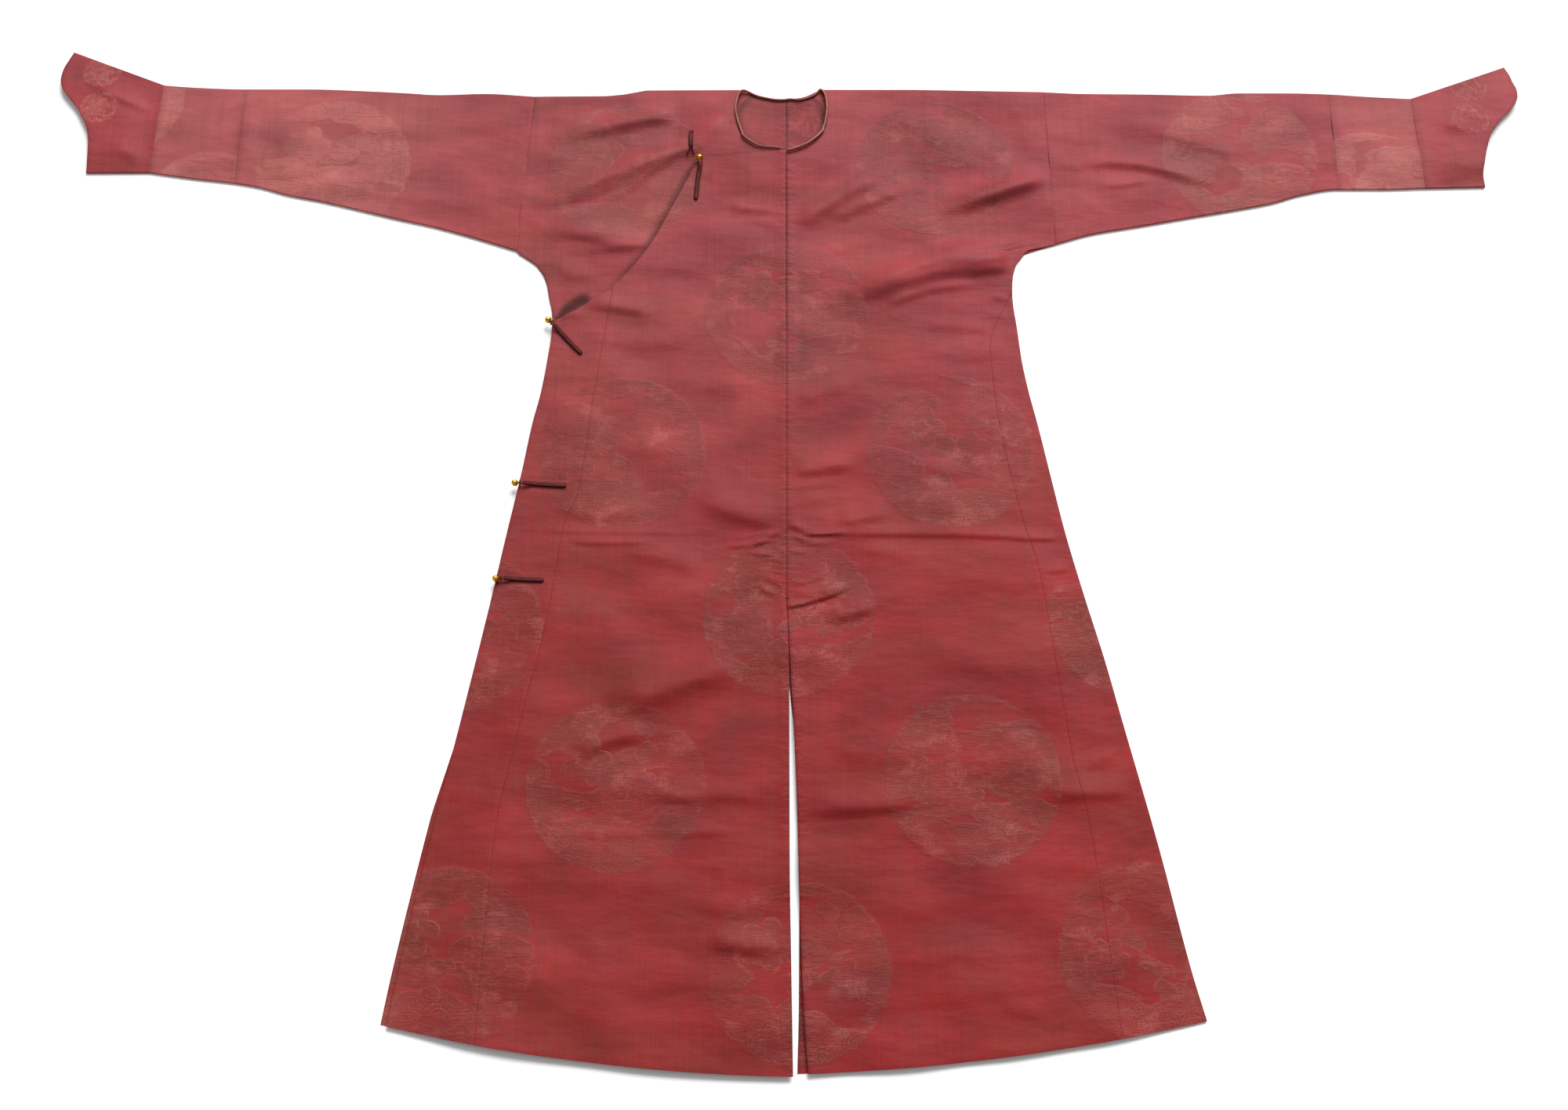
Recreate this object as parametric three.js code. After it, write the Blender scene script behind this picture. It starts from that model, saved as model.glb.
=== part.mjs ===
// A riding surcoat laid flat on its back: silk, side-fastening, with long sleeves and flared hoof cuffs.
// Millimetres, +Z up. While it is drawn, "out" is measured from the centre seam (+ to the wearer's left)
// and "down" from the shoulder line towards the hem. The group is centred on its box at the end.
import * as THREE from 'three';

// Driving sizes
const CLOTH = 1.4;            // thickness of the silk with its turned-in edges
const SEAM = 0.3;             // space between two pieces at a seam
const LAP_GAP = 0.9;          // space between the flap and the lap under it
const EASE = 2.2;             // air between the back and the front where the coat lies relaxed
const NECK_EASE = 4.4;        // the same beside the neck
const HEM_EASE = 6.2;         // the same at the open hem
const CUFF_EASE = 6.2;        // the same at the mouth of each cuff
const NECK_LIFT_REACH = 95;   // how far from the neck the cloth is still raised
const NECK_MIDDLE = 50;       // middle of the neck opening, below the shoulder line
const NECK_HALF_DEPTH = 40;
const NECK_HALF_WIDTH = 60;
const NECK_LIFT_TOP = 40;     // the raised cloth comes down to the shoulder fold over this length
const NECK_LIFT_END = 320;    // and is flat again by here
const NECK_LIFT_FADE = 160;
const HEM_LIFT_REACH = 150;   // how far above the hem it begins to rise
const SIDE_TAPER = 95;        // how far from a side edge of the body the two layers close up
const SLEEVE_TAPER = 50;      // the same in a sleeve or cuff
const ARMPIT_MARGIN = 12;     // the layers stay apart at the sleeve seam to this far above its end
const ARMPIT_ROW = 7;         // first row of a side table that belongs to the side edge
const LENGTH_LEFT = 1418;     // shoulder to hem along the centre, wearer's left
const LENGTH_RIGHT = 1420;    // the same on the wearer's right
const HEM_SAG = 12;           // how far the hem bows below a straight line from centre to side
const ARMPIT_DOWN = 400;      // rows run level above this and fan out below it
const VENT_TOP = 806;         // where the centre seams end and the vents begin
const GORE_SLANT = 0.75;      // place of the gore seam along a row, for reading its table
const UNDERLAP_EDGE = -30;    // inner edge of the hidden lap
const SEAM_RISE_REACH = 80;   // how far the left front takes to come down from the height of the flap
const LAP_RISE = 100;         // length below the shoulder over which the left front rises to the flap
const FOLD_END = 0.3;         // share of a fold over which each end runs out
const CORD_RADIUS = 1.5;      // neck binding
const STRAP_HALF_WIDTH = 3.1;
const STRAP_HALF_HEIGHT = 1.3;
const BALL_RADIUS = 4.6;      // gilt button
const SHANK_RADIUS = 1.5;
const SHANK_LENGTH = 4.2;

const SILK = new THREE.Color(0.60, 0.27, 0.29);
const SILK_PINK = new THREE.Color(0.66, 0.33, 0.35);
const BRAID = new THREE.Color(0.42, 0.17, 0.17);
const BINDING = new THREE.Color(0.58, 0.38, 0.35);
const GILT = new THREE.Color(0.85, 0.65, 0.23);

// Side edge of each half, from the sleeve seam round the armpit to the corner of the hem
const SIDE_LEFT = [
  { down: 4, out: 358 }, { down: 264, out: 363 }, { down: 274, out: 325 },
  { down: 287, out: 315 }, { down: 300, out: 307 }, { down: 325, out: 302 }, { down: 351, out: 301 },
  { down: 401, out: 305 }, { down: 450, out: 309 }, { down: 499, out: 316 }, { down: 547, out: 325 },
  { down: 618, out: 337 }, { down: 711, out: 353 }, { down: 801, out: 372 }, { down: 889, out: 392 },
  { down: 974, out: 409 }, { down: 1139, out: 442 }, { down: 1296, out: 470 }, { down: 1355, out: 483 },
];
const SIDE_RIGHT = [
  { down: 12, out: -350 }, { down: 275, out: -363 }, { down: 287, out: -349 },
  { down: 300, out: -334 }, { down: 325, out: -321 }, { down: 351, out: -316 }, { down: 376, out: -311 },
  { down: 401, out: -310 }, { down: 450, out: -314 }, { down: 499, out: -320 }, { down: 547, out: -329 },
  { down: 618, out: -339 }, { down: 711, out: -354 }, { down: 801, out: -368 }, { down: 974, out: -397 },
  { down: 1139, out: -426 }, { down: 1296, out: -451 }, { down: 1361, out: -460 },
];

// The back shows a little outside the flap beside the last vent
const BACK_SHOWS = [
  { down: 0, extra: 0 }, { down: 1040, extra: 0 }, { down: 1140, extra: 6 }, { down: 1361, extra: 7 },
];

// Seams of the side gores
const GORE_LEFT = [
  { down: 345, out: 299 }, { down: 430, out: 268 }, { down: 511, out: 272 }, { down: 676, out: 296 },
  { down: 767, out: 317 }, { down: 899, out: 332 }, { down: 1016, out: 345 }, { down: 1119, out: 362 },
  { down: 1376, out: 384 },
];
const GORE_RIGHT = [
  { down: 395, out: -308 }, { down: 440, out: -272 }, { down: 511, out: -270 }, { down: 676, out: -290 },
  { down: 767, out: -306 }, { down: 899, out: -320 }, { down: 1016, out: -332 }, { down: 1119, out: -346 },
  { down: 1376, out: -364 },
];
const GORE_FLAP = [
  { down: 335, out: -232 }, { down: 425, out: -243 }, { down: 505, out: -252 }, { down: 651, out: -267 },
  { down: 704, out: -284 }, { down: 793, out: -294 }, { down: 872, out: -305 }, { down: 945, out: -320 },
  { down: 987, out: -327 }, { down: 1127, out: -349 }, { down: 1381, out: -358 },
];

// Neck edge of each half, front and back
const NECK_LEFT = [
  { down: 0, out: 51 }, { down: 14, out: 55 }, { down: 28, out: 56 }, { down: 48, out: 54 },
  { down: 69, out: 48 }, { down: 89, out: 35 }, { down: 103, out: 18 }, { down: 107, out: 0.15 },
];
const NECK_RIGHT = [
  { down: 0, out: -64 }, { down: 14, out: -69 }, { down: 32, out: -71 }, { down: 55, out: -67 },
  { down: 78, out: -57 }, { down: 92, out: -38 }, { down: 100, out: -19 }, { down: 105, out: -8 },
  { down: 130, out: -14 }, { down: 190, out: UNDERLAP_EDGE },
];
const NECK_BACK = [
  { down: 2, half: 50 }, { down: 8, half: 41 }, { down: 12, half: 33 }, { down: 15, half: 18 },
  { down: 17, half: 0.15 },
];
const NECK_SHIFT = -7;        // the neck sits this much towards the wearer's right

// Edges of the open vents below the centre seams
const VENT_LEFT_FRONT = [
  { down: VENT_TOP, out: 0.15 }, { down: 899, out: 4.5 }, { down: 1016, out: 10 }, { down: 1119, out: 13 },
  { down: 1218, out: 15 }, { down: 1353, out: 20 }, { down: LENGTH_LEFT, out: 24 },
];
const VENT_LEFT_BACK = [
  { down: VENT_TOP, out: 0.15 }, { down: 899, out: 6 }, { down: 1016, out: 12 }, { down: 1119, out: 15 },
  { down: 1334, out: 14 }, { down: LENGTH_LEFT, out: 12 },
];
const VENT_FLAP = [
  { down: VENT_TOP, out: -0.15 }, { down: 899, out: 3 }, { down: 1159, out: 3.5 }, { down: 1277, out: 5 },
  { down: LENGTH_RIGHT, out: 7 },
];
const VENT_RIGHT_BACK = [
  { down: VENT_TOP, out: -0.15 }, { down: 899, out: -2 }, { down: LENGTH_RIGHT, out: 1 },
];

// Free edge of the flap, from the pit of the neck to the armpit
const FLAP_EDGE = [
  { down: 107.6, out: -4 }, { down: 111, out: -57 }, { down: 121, out: -114 }, { down: 136, out: -128 },
  { down: 155, out: -136 }, { down: 206, out: -158 }, { down: 264, out: -184 }, { down: 305, out: -210 },
  { down: 340, out: -240 }, { down: 363, out: -269 }, { down: 386, out: -304 },
];

// Line of the shoulder fold, which dips a little over the wearer's right shoulder
const SHOULDER = [
  { out: -350, down: 12 }, { out: -250, down: 11 }, { out: -225, down: 8 }, { out: -195, down: 1 },
  { out: 0, down: 0 }, { out: 180, down: 0 }, { out: 358, down: 4 },
];
const SHOULDER_DIP_REACH = 70;

// Sleeves: top and bottom edge of each, read by distance out
const SLEEVE_TOP_LEFT = [
  { out: 358, down: 4 }, { out: 412, down: 7 }, { out: 500, down: 8 }, { out: 587, down: 10 },
  { out: 631, down: 6 }, { out: 697, down: 6 }, { out: 757, down: 8 }, { out: 806, down: 12 },
  { out: 869, down: 16 },
];
const SLEEVE_BOTTOM_LEFT = [
  { out: 363, down: 264 }, { out: 412, down: 248 }, { out: 476, down: 235 }, { out: 539, down: 222 },
  { out: 603, down: 209 }, { out: 661, down: 196 }, { out: 699, down: 183 }, { out: 751, down: 173 },
  { out: 810, down: 173 }, { out: 868, down: 171 },
];
const SLEEVE_TOP_RIGHT = [
  { out: 350, down: 12 }, { out: 419, down: 7 }, { out: 484, down: 9 }, { out: 528, down: 6 },
  { out: 572, down: 3 }, { out: 671, down: -1 }, { out: 752, down: -1 }, { out: 825, down: -4 },
  { out: 869, down: -8 },
];
const SLEEVE_BOTTOM_RIGHT = [
  { out: 363, down: 275 }, { out: 401, down: 261 }, { out: 438, down: 248 }, { out: 479, down: 235 },
  { out: 529, down: 222 }, { out: 589, down: 205 }, { out: 633, down: 193 }, { out: 677, down: 183 },
  { out: 721, down: 169 }, { out: 756, down: 162 }, { out: 808, down: 155 }, { out: 875, down: 144 },
];
const SLEEVE_SEAMS = [
  { name: 'sleeve_upper', fromTop: null, fromBottom: 363, toTop: 755, toBottom: 754, stations: 10 },
  { name: 'sleeve_lower', fromTop: 755, fromBottom: 754, toTop: 869, toBottom: 872, stations: 3 },
];

// Curved end of each hoof cuff, from the upper tip to the lower corner
const CUFF_END_LEFT = [
  { down: -40, out: 1006 }, { down: -24, out: 1012 }, { down: -11, out: 1014 }, { down: 1, out: 1017 },
  { down: 11, out: 1017 }, { down: 22, out: 1014 }, { down: 37, out: 1004 }, { down: 47, out: 994 },
  { down: 61, out: 983 }, { down: 78, out: 972 }, { down: 100, out: 964 }, { down: 123, out: 958 },
  { down: 149, out: 953 }, { down: 169, out: 954 },
];
const CUFF_END_RIGHT = [
  { down: -67, out: 1002 }, { down: -50, out: 1008 }, { down: -35, out: 1012 }, { down: -18, out: 1013 },
  { down: -4, out: 1010 }, { down: 8, out: 1003 }, { down: 21, out: 993 }, { down: 36, out: 982 },
  { down: 50, out: 975 }, { down: 66, out: 967 }, { down: 89, out: 962 }, { down: 109, out: 960 },
  { down: 145, out: 959 },
];

// Largest folds of the cloth: crest from a through b to c, height, and half-width
const FOLDS = [
  { on: 'left', a: [326, 296], b: [206, 306], c: [70, 360], rise: 8, spread: 20 },
  { on: 'left', a: [18, 240], b: [61, 194], c: [150, 140], rise: 5, spread: 18 },
  { on: 'left', a: [190, 214], b: [290, 176], c: [356, 150], rise: 5, spread: 20 },
  { on: 'left', a: [4, 800], b: [36, 797], c: [84, 782], rise: 5, spread: 14 },
  { on: 'left', a: [16, 1082], b: [80, 1082], c: [150, 1080], rise: 4, spread: 18 },
  { on: 'left', a: [30, 712], b: [190, 712], c: [345, 718], rise: 2, spread: 18 },
  { on: 'right', a: [-120, 96], b: [-218, 138], c: [-330, 198], rise: 6, spread: 15 },
  { on: 'right', a: [-140, 44], b: [-215, 58], c: [-310, 84], rise: 5, spread: 15 },
  { on: 'flap', a: [-300, 376], b: [-285, 362], c: [-255, 346], rise: 4, spread: 14 },
  { on: 'flap', a: [-256, 966], b: [-114, 910], c: [-10, 880], rise: 7, spread: 20 },
  { on: 'flap', a: [-95, 1258], b: [-50, 1262], c: [-4, 1264], rise: 4, spread: 16 },
  { on: 'flap', a: [-330, 714], b: [-220, 712], c: [-60, 716], rise: 2, spread: 18 },
  { on: 'sleeve_left', a: [366, 106], b: [420, 118], c: [490, 128], rise: 4, spread: 16 },
  { on: 'sleeve_left', a: [414, 70], b: [500, 112], c: [590, 160], rise: 5, spread: 16 },
  { on: 'sleeve_right', a: [-740, 40], b: [-742, 80], c: [-744, 130], rise: 2, spread: 14 },
  { on: 'cuff_right', a: [-985, -24], b: [-932, 14], c: [-880, 38], rise: 3, spread: 12 },
  { on: 'cuff_left', a: [905, 60], b: [925, 64], c: [950, 66], rise: 2, spread: 12 },
];

// Fastenings: ball, where its shank points, and the far end of its strap
const BUTTONS = [
  { ball: [-119, 120], aim: [-117.5, 131], to: [-123, 190] },
  { ball: [-315, 387], aim: [-306, 395], to: [-269, 440] },
  { ball: [-347, 637], aim: [-337, 636.5], to: [-281, 641] },
  { ball: [-364, 776], aim: [-354, 775], to: [-304, 778] },
];
const STRAP_RISE = 0.3;       // share of a strap that climbs to the shank
const LOOP_STRAP = { from: [-131, 66], to: [-131, 102] };
const LOOP_CORD = 0.8;        // radius of the cord loop round each fastened shank

const LEFT = { name: 'left', side: SIDE_LEFT, gore: GORE_LEFT, length: LENGTH_LEFT, sideEnd: 1355 };
const RIGHT = { name: 'right', side: SIDE_RIGHT, gore: GORE_RIGHT, length: LENGTH_RIGHT, sideEnd: 1361 };
const FLAP = { ...RIGHT, gore: GORE_FLAP };

function lookUp(rows, at, from, give) {
  if (at <= rows[0][from]) {
    return rows[0][give];
  }
  for (let i = 1; i < rows.length; i += 1) {
    if (at <= rows[i][from]) {
      const share = (at - rows[i - 1][from]) / (rows[i][from] - rows[i - 1][from]);
      return rows[i - 1][give] + share * (rows[i][give] - rows[i - 1][give]);
    }
  }
  return rows[rows.length - 1][give];
}

const mix = (a, b, share) => a + (b - a) * share;
const smooth = (share) => THREE.MathUtils.smoothstep(share, 0, 1);

function foldHeight(on, out, down) {
  let height = 0;
  for (const fold of FOLDS.filter((entry) => entry.on === on)) {
    let nearest = Infinity;
    let place = 0;
    const legs = [[fold.a, fold.b, 0], [fold.b, fold.c, 0.5]];
    for (const [p, q, start] of legs) {
      const dx = q[0] - p[0];
      const dy = q[1] - p[1];
      const share = THREE.MathUtils.clamp(
        ((out - p[0]) * dx + (down - p[1]) * dy) / (dx * dx + dy * dy), 0, 1);
      const away = Math.hypot(out - p[0] - share * dx, down - p[1] - share * dy);
      if (away < nearest) {
        nearest = away;
        place = start + share / 2;
      }
    }
    const ends = smooth(Math.min(place, 1 - place) / FOLD_END);
    height += fold.rise * (0.25 + 0.75 * ends) * Math.exp(-((nearest / fold.spread) ** 2));
  }
  return height;
}

// Where a row of the body meets the side edge
function sideDown(half, down) {
  if (down <= ARMPIT_DOWN) {
    return down;
  }
  const share = (down - ARMPIT_DOWN) / (half.length - ARMPIT_DOWN);
  return mix(ARMPIT_DOWN, half.sideEnd, share);
}

// A row is level at the chest and bows like the hem further down
function rowPoint(half, down, out) {
  const end = sideDown(half, down);
  const share = out / lookUp(half.side, end, 'down', 'out');
  const fan = Math.max(0, (down - ARMPIT_DOWN) / (half.length - ARMPIT_DOWN));
  const bow = HEM_SAG * 4 * share * (1 - share) * fan * fan;
  const dip = lookUp(SHOULDER, out, 'out', 'down') * Math.max(0, 1 - down / SHOULDER_DIP_REACH);
  return { out, down: mix(down, end, share) + bow + dip };
}

function sideOut(half, down) {
  return lookUp(half.side, sideDown(half, down), 'down', 'out');
}

function goreOut(half, down) {
  const at = mix(down, sideDown(half, down), GORE_SLANT);
  if (at < half.gore[0].down) {
    return sideOut(half, down);
  }
  return lookUp(half.gore, at, 'down', 'out');
}

// Underside of the first layer above the back, above the floor
function frontHeight(half, out, down) {
  const belowArmpit = Math.max(down, half.side[ARMPIT_ROW].down);
  const edge = Math.abs(lookUp(half.side, belowArmpit, 'down', 'out'));
  const reach = Math.max(half.side[1].down + ARMPIT_MARGIN - down, edge - Math.abs(out));
  const closing = smooth(reach / SIDE_TAPER);
  const pastNeck = Math.max(0, Math.abs(down - NECK_MIDDLE) - NECK_HALF_DEPTH);
  const fromNeck = Math.hypot(out - NECK_SHIFT, pastNeck) - NECK_HALF_WIDTH;
  const nearNeck = smooth(1 - fromNeck / NECK_LIFT_REACH)
    * smooth(down / NECK_LIFT_TOP) * smooth((NECK_LIFT_END - down) / NECK_LIFT_FADE);
  const nearHem = smooth((down - (half.sideEnd - HEM_LIFT_REACH)) / HEM_LIFT_REACH);
  let ease = mix(EASE, NECK_EASE, nearNeck);
  ease = mix(ease, HEM_EASE, nearHem);
  const lapped = half === LEFT ? 1 - smooth(out / SEAM_RISE_REACH) : 0;
  const height = CLOTH + mix(SEAM, ease, closing) + lapped * (CLOTH + LAP_GAP) * smooth(down / LAP_RISE);
  return height + foldHeight(half.name, out, down) * closing;
}

// Underside of the flap, which lies on the lap under it
function flapHeight(out, down) {
  return frontHeight(RIGHT, out, down) + CLOTH + LAP_GAP + foldHeight('flap', out, down);
}

// Closes a grid of middle points and normals into a wall
function wall(grid, looped) {
  const rows = grid.length;
  const columns = grid[0].length;
  const positions = [];
  for (const face of [1, -1]) {
    for (const row of grid) {
      for (const { p, n } of row) {
        positions.push(...p.clone().addScaledVector(n, face * CLOTH / 2).toArray());
      }
    }
  }
  const at = (side, i, j) => side * rows * columns + i * columns + (j % columns);
  const triangles = [];
  const quad = (a, b, c, d) => triangles.push(a, b, c, a, c, d);
  const lastColumn = looped ? columns : columns - 1;
  for (let i = 0; i < rows - 1; i += 1) {
    for (let j = 0; j < lastColumn; j += 1) {
      quad(at(0, i, j), at(0, i + 1, j), at(0, i + 1, j + 1), at(0, i, j + 1));
      quad(at(1, i, j), at(1, i, j + 1), at(1, i + 1, j + 1), at(1, i + 1, j));
    }
    if (!looped) {
      quad(at(0, i, 0), at(1, i, 0), at(1, i + 1, 0), at(0, i + 1, 0));
      const last = columns - 1;
      quad(at(0, i, last), at(0, i + 1, last), at(1, i + 1, last), at(1, i, last));
    }
  }
  for (let j = 0; j < lastColumn; j += 1) {
    quad(at(0, 0, j), at(0, 0, j + 1), at(1, 0, j + 1), at(1, 0, j));
    quad(at(0, rows - 1, j), at(1, rows - 1, j), at(1, rows - 1, j + 1), at(0, rows - 1, j + 1));
  }
  return facingOut(positions, triangles);
}

function facingOut(positions, triangles) {
  const corner = (k) => new THREE.Vector3().fromArray(positions, 3 * triangles[k]);
  let volume = 0;
  for (let k = 0; k < triangles.length; k += 3) {
    volume += corner(k).dot(corner(k + 1).cross(corner(k + 2)));
  }
  const order = volume < 0 ? triangles.toReversed() : triangles;
  const geometry = new THREE.BufferGeometry();
  geometry.setAttribute('position', new THREE.Float32BufferAttribute(positions, 3));
  geometry.setIndex(order);
  geometry.computeVertexNormals();
  return geometry;
}

const place = (out, down, height) => new THREE.Vector3(out, -down, height);
const UP = new THREE.Vector3(0, 0, 1);
const DOWN = new THREE.Vector3(0, 0, -1);

const parts = new THREE.Group();
function add(name, geometry, colour, roughness = 0.6, metalness = 0) {
  const material = new THREE.MeshStandardMaterial({ color: colour, roughness, metalness });
  const mesh = new THREE.Mesh(geometry, material);
  mesh.name = name;
  parts.add(mesh);
}

function steps(from, to, about) {
  const count = Math.max(1, Math.round((to - from) / about));
  return Array.from({ length: count }, (_, i) => from + (to - from) * i / count);
}

// Rows of the body, below the shoulder line
const FIRST_ROW = 12;
const CHEST_TOP = 130;
const CHEST_END = 14;         // the last chest row lies this far above the end of the sleeve seam
const CLOSEST_ROWS = 2.5;
const BACK_CHEST = [60, 160];
const BACK_SKIRT = [ARMPIT_DOWN, 520, 660, VENT_TOP, 899, 1016, 1119, 1218, 1320];
const FLAP_CHEST = [180, 235, 285];

// Rows from the shoulder to the hem: closer where the outline turns, wider where the cloth is hidden
function rowList(half, spacing) {
  const neck = half === LEFT ? NECK_LEFT : NECK_RIGHT;
  const turns = neck.slice(1).map((row) => row.down).filter((down) => down > FIRST_ROW);
  const armpit = half.side.slice(1, ARMPIT_ROW).map((row) => row.down);
  const chest = steps(CHEST_TOP, armpit[0] - CHEST_END, spacing);
  const skirt = steps(ARMPIT_DOWN, half.length, spacing).concat(half.length);
  const all = turns.concat(chest, armpit, skirt).sort((a, b) => a - b);
  return all.filter((down, i) => i === 0 || down - all[i - 1] > CLOSEST_ROWS);
}

function backRows(half) {
  const neck = NECK_BACK.map((row) => row.down);
  const armpit = half.side.slice(1, ARMPIT_ROW - 1).map((row) => row.down);
  return neck.concat(BACK_CHEST, armpit, BACK_SKIRT, half.length).reverse();
}

const TURNS = [0.25, 0.5, 0.75];   // points round a fold, as shares of half a turn
const COLUMNS = 9;            // across each half
const CLOSER = 1.25;          // columns stand closer towards the centre
const FLAP_COLUMNS = 8;
const GORE_COLUMNS = 2;
const SPACING = 34;           // between rows
const LAP_SPACING = 60;
const LAP_INSET = 2;          // the hidden lap ends just inside the side
const NECK_SHIFT_REACH = 6;   // the back neck comes back to the centre seam over this length

// One length of cloth, from the back hem over the shoulder to the front hem
function bodyGrid(half, frontInner, backInner, spacing, columns) {
  const sign = half === LEFT ? 1 : -1;
  const radius = (CLOTH + EASE) / 2;
  const grid = [];
  const outerEdge = (down) => goreOut(half, down) - sign * SEAM / 2;
  const rowOf = (down, inner, toPoint) => {
    const outer = outerEdge(down);
    return Array.from({ length: columns + 1 }, (_, j) => toPoint(mix(inner, outer, (j / columns) ** CLOSER)));
  };
  for (const down of backRows(half)) {
    grid.push(rowOf(down, backInner(down), (out) => {
      const spot = rowPoint(half, down, out);
      return { p: place(spot.out, Math.max(spot.down, foldStart(out)), CLOTH / 2), n: DOWN };
    }));
  }
  for (const turn of TURNS) {
    const angle = Math.PI * turn;
    const n = new THREE.Vector3(0, Math.sin(angle), -Math.cos(angle));
    grid.push(rowOf(0, backInner(0), (out) => {
      const centre = place(out, foldStart(out), CLOTH / 2 + radius);
      return { p: centre.addScaledVector(n, radius), n };
    }));
  }
  grid.push(rowOf(0, frontInner(0), (out) => (
    { p: place(out, foldStart(out), CLOTH / 2 + 2 * radius), n: UP })));
  for (const down of rowList(half, spacing)) {
    grid.push(rowOf(down, frontInner(down), (out) => {
      const spot = rowPoint(half, down, out);
      return { p: place(spot.out, spot.down, frontHeight(half, out, spot.down) + CLOTH / 2), n: UP };
    }));
  }
  return grid;
}

function foldStart(out) {
  return lookUp(SHOULDER, out, 'out', 'down') + CLOTH / 2 + (CLOTH + EASE) / 2;
}

function innerEdge(neck, vent, sign, shift) {
  return (down) => {
    if (vent && down > VENT_TOP) {
      return lookUp(vent, down, 'down', 'out');
    }
    if ('half' in neck[0]) {
      return sign * lookUp(neck, down, 'down', 'half') + shift(down);
    }
    return lookUp(neck, down, 'down', 'out');
  };
}

// The back neck is off centre like the front, and its seam is not
const neckShift = (down) => NECK_SHIFT * smooth((NECK_BACK[4].down - down) / NECK_SHIFT_REACH);
const leftFrontEdge = innerEdge(NECK_LEFT, VENT_LEFT_FRONT, 1, neckShift);
const leftBackEdge = innerEdge(NECK_BACK, VENT_LEFT_BACK, 1, neckShift);
const lapEdge = innerEdge(NECK_RIGHT, null, -1, neckShift);
const rightBackEdge = innerEdge(NECK_BACK, VENT_RIGHT_BACK, -1, neckShift);
add('body_left', wall(bodyGrid(LEFT, leftFrontEdge, leftBackEdge, SPACING, COLUMNS), false), SILK);
add('body_right', wall(bodyGrid(RIGHT, lapEdge, rightBackEdge, LAP_SPACING, COLUMNS), false), SILK);

// The flap that crosses to the wearer's right side
function flapRows() {
  const edge = FLAP_EDGE.map((row) => row.down);
  const skirt = steps(ARMPIT_DOWN, LENGTH_RIGHT, SPACING).concat(LENGTH_RIGHT);
  return edge.concat(FLAP_CHEST, skirt).sort((a, b) => a - b);
}

function flapOuter(down) {
  const last = FLAP_EDGE[FLAP_EDGE.length - 1].down;
  return down <= last ? lookUp(FLAP_EDGE, down, 'down', 'out') : sideOut(RIGHT, down);
}

function flapPoint(down, out) {
  const spot = rowPoint(RIGHT, down, out);
  const at = place(spot.out, spot.down, flapHeight(out, spot.down) + CLOTH / 2);
  return { p: at, n: UP };
}

function flapGrid() {
  const inner = (down) => (down > VENT_TOP ? lookUp(VENT_FLAP, down, 'down', 'out') : -SEAM / 2);
  return flapRows().map((down) => {
    const outer = Math.max(flapOuter(down), goreOut(FLAP, down) + SEAM / 2);
    return Array.from({ length: FLAP_COLUMNS + 1 }, (_, j) => (
      flapPoint(down, mix(inner(down), outer, j / FLAP_COLUMNS))));
  });
}
add('front_flap', wall(flapGrid(), false), SILK);

// Gores widen the skirt between the loom widths and the sides
function goreGrid(half, downs, outerEdge, heightOf) {
  const sign = half === LEFT ? 1 : -1;
  return downs.map((down) => {
    const inner = goreOut(half, down) + sign * SEAM / 2;
    const outer = outerEdge(down);
    return Array.from({ length: GORE_COLUMNS + 1 }, (_, j) => {
      const spot = rowPoint(half, down, mix(inner, outer, j / GORE_COLUMNS));
      const back = heightOf === null;
      const height = back ? 0 : heightOf(spot.out, spot.down);
      return { p: place(spot.out, spot.down, height + CLOTH / 2), n: back ? DOWN : UP };
    });
  });
}

const below = (top) => (down) => down >= top;
const leftSide = (down) => sideOut(LEFT, down);
const lapSide = (down) => sideOut(RIGHT, down) + LAP_INSET;
const backSide = (down) => sideOut(RIGHT, down) - lookUp(BACK_SHOWS, down, 'down', 'extra');
const leftFront = (out, down) => frontHeight(LEFT, out, down);
const lapFront = (out, down) => frontHeight(RIGHT, out, down);
const leftRows = rowList(LEFT, SPACING);
const lapRows = rowList(RIGHT, LAP_SPACING);
const GORES = [
  { name: 'gore_front_left', half: LEFT, rows: leftRows, top: 351, side: leftSide, height: leftFront },
  { name: 'gore_back_left', half: LEFT, rows: backRows(LEFT), top: 325, side: leftSide, height: null },
  { name: 'gore_underlap', half: RIGHT, rows: lapRows, top: 400, side: lapSide, height: lapFront },
  { name: 'gore_back_right', half: RIGHT, rows: backRows(RIGHT), top: 400, side: backSide, height: null },
  { name: 'gore_flap', half: FLAP, rows: flapRows(), top: 340, side: flapOuter, height: flapHeight },
];
for (const gore of GORES) {
  const rows = gore.rows.filter(below(gore.top));
  add(gore.name, wall(goreGrid(gore.half, rows, gore.side, gore.height), false), SILK);
}

const LOWER_STEPS = 3;        // across a sleeve, on the floor side
const UPPER_STEPS = 8;
const EDGE_GAP = 3 * SEAM;    // air between the two layers at the edge of a sleeve

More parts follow.
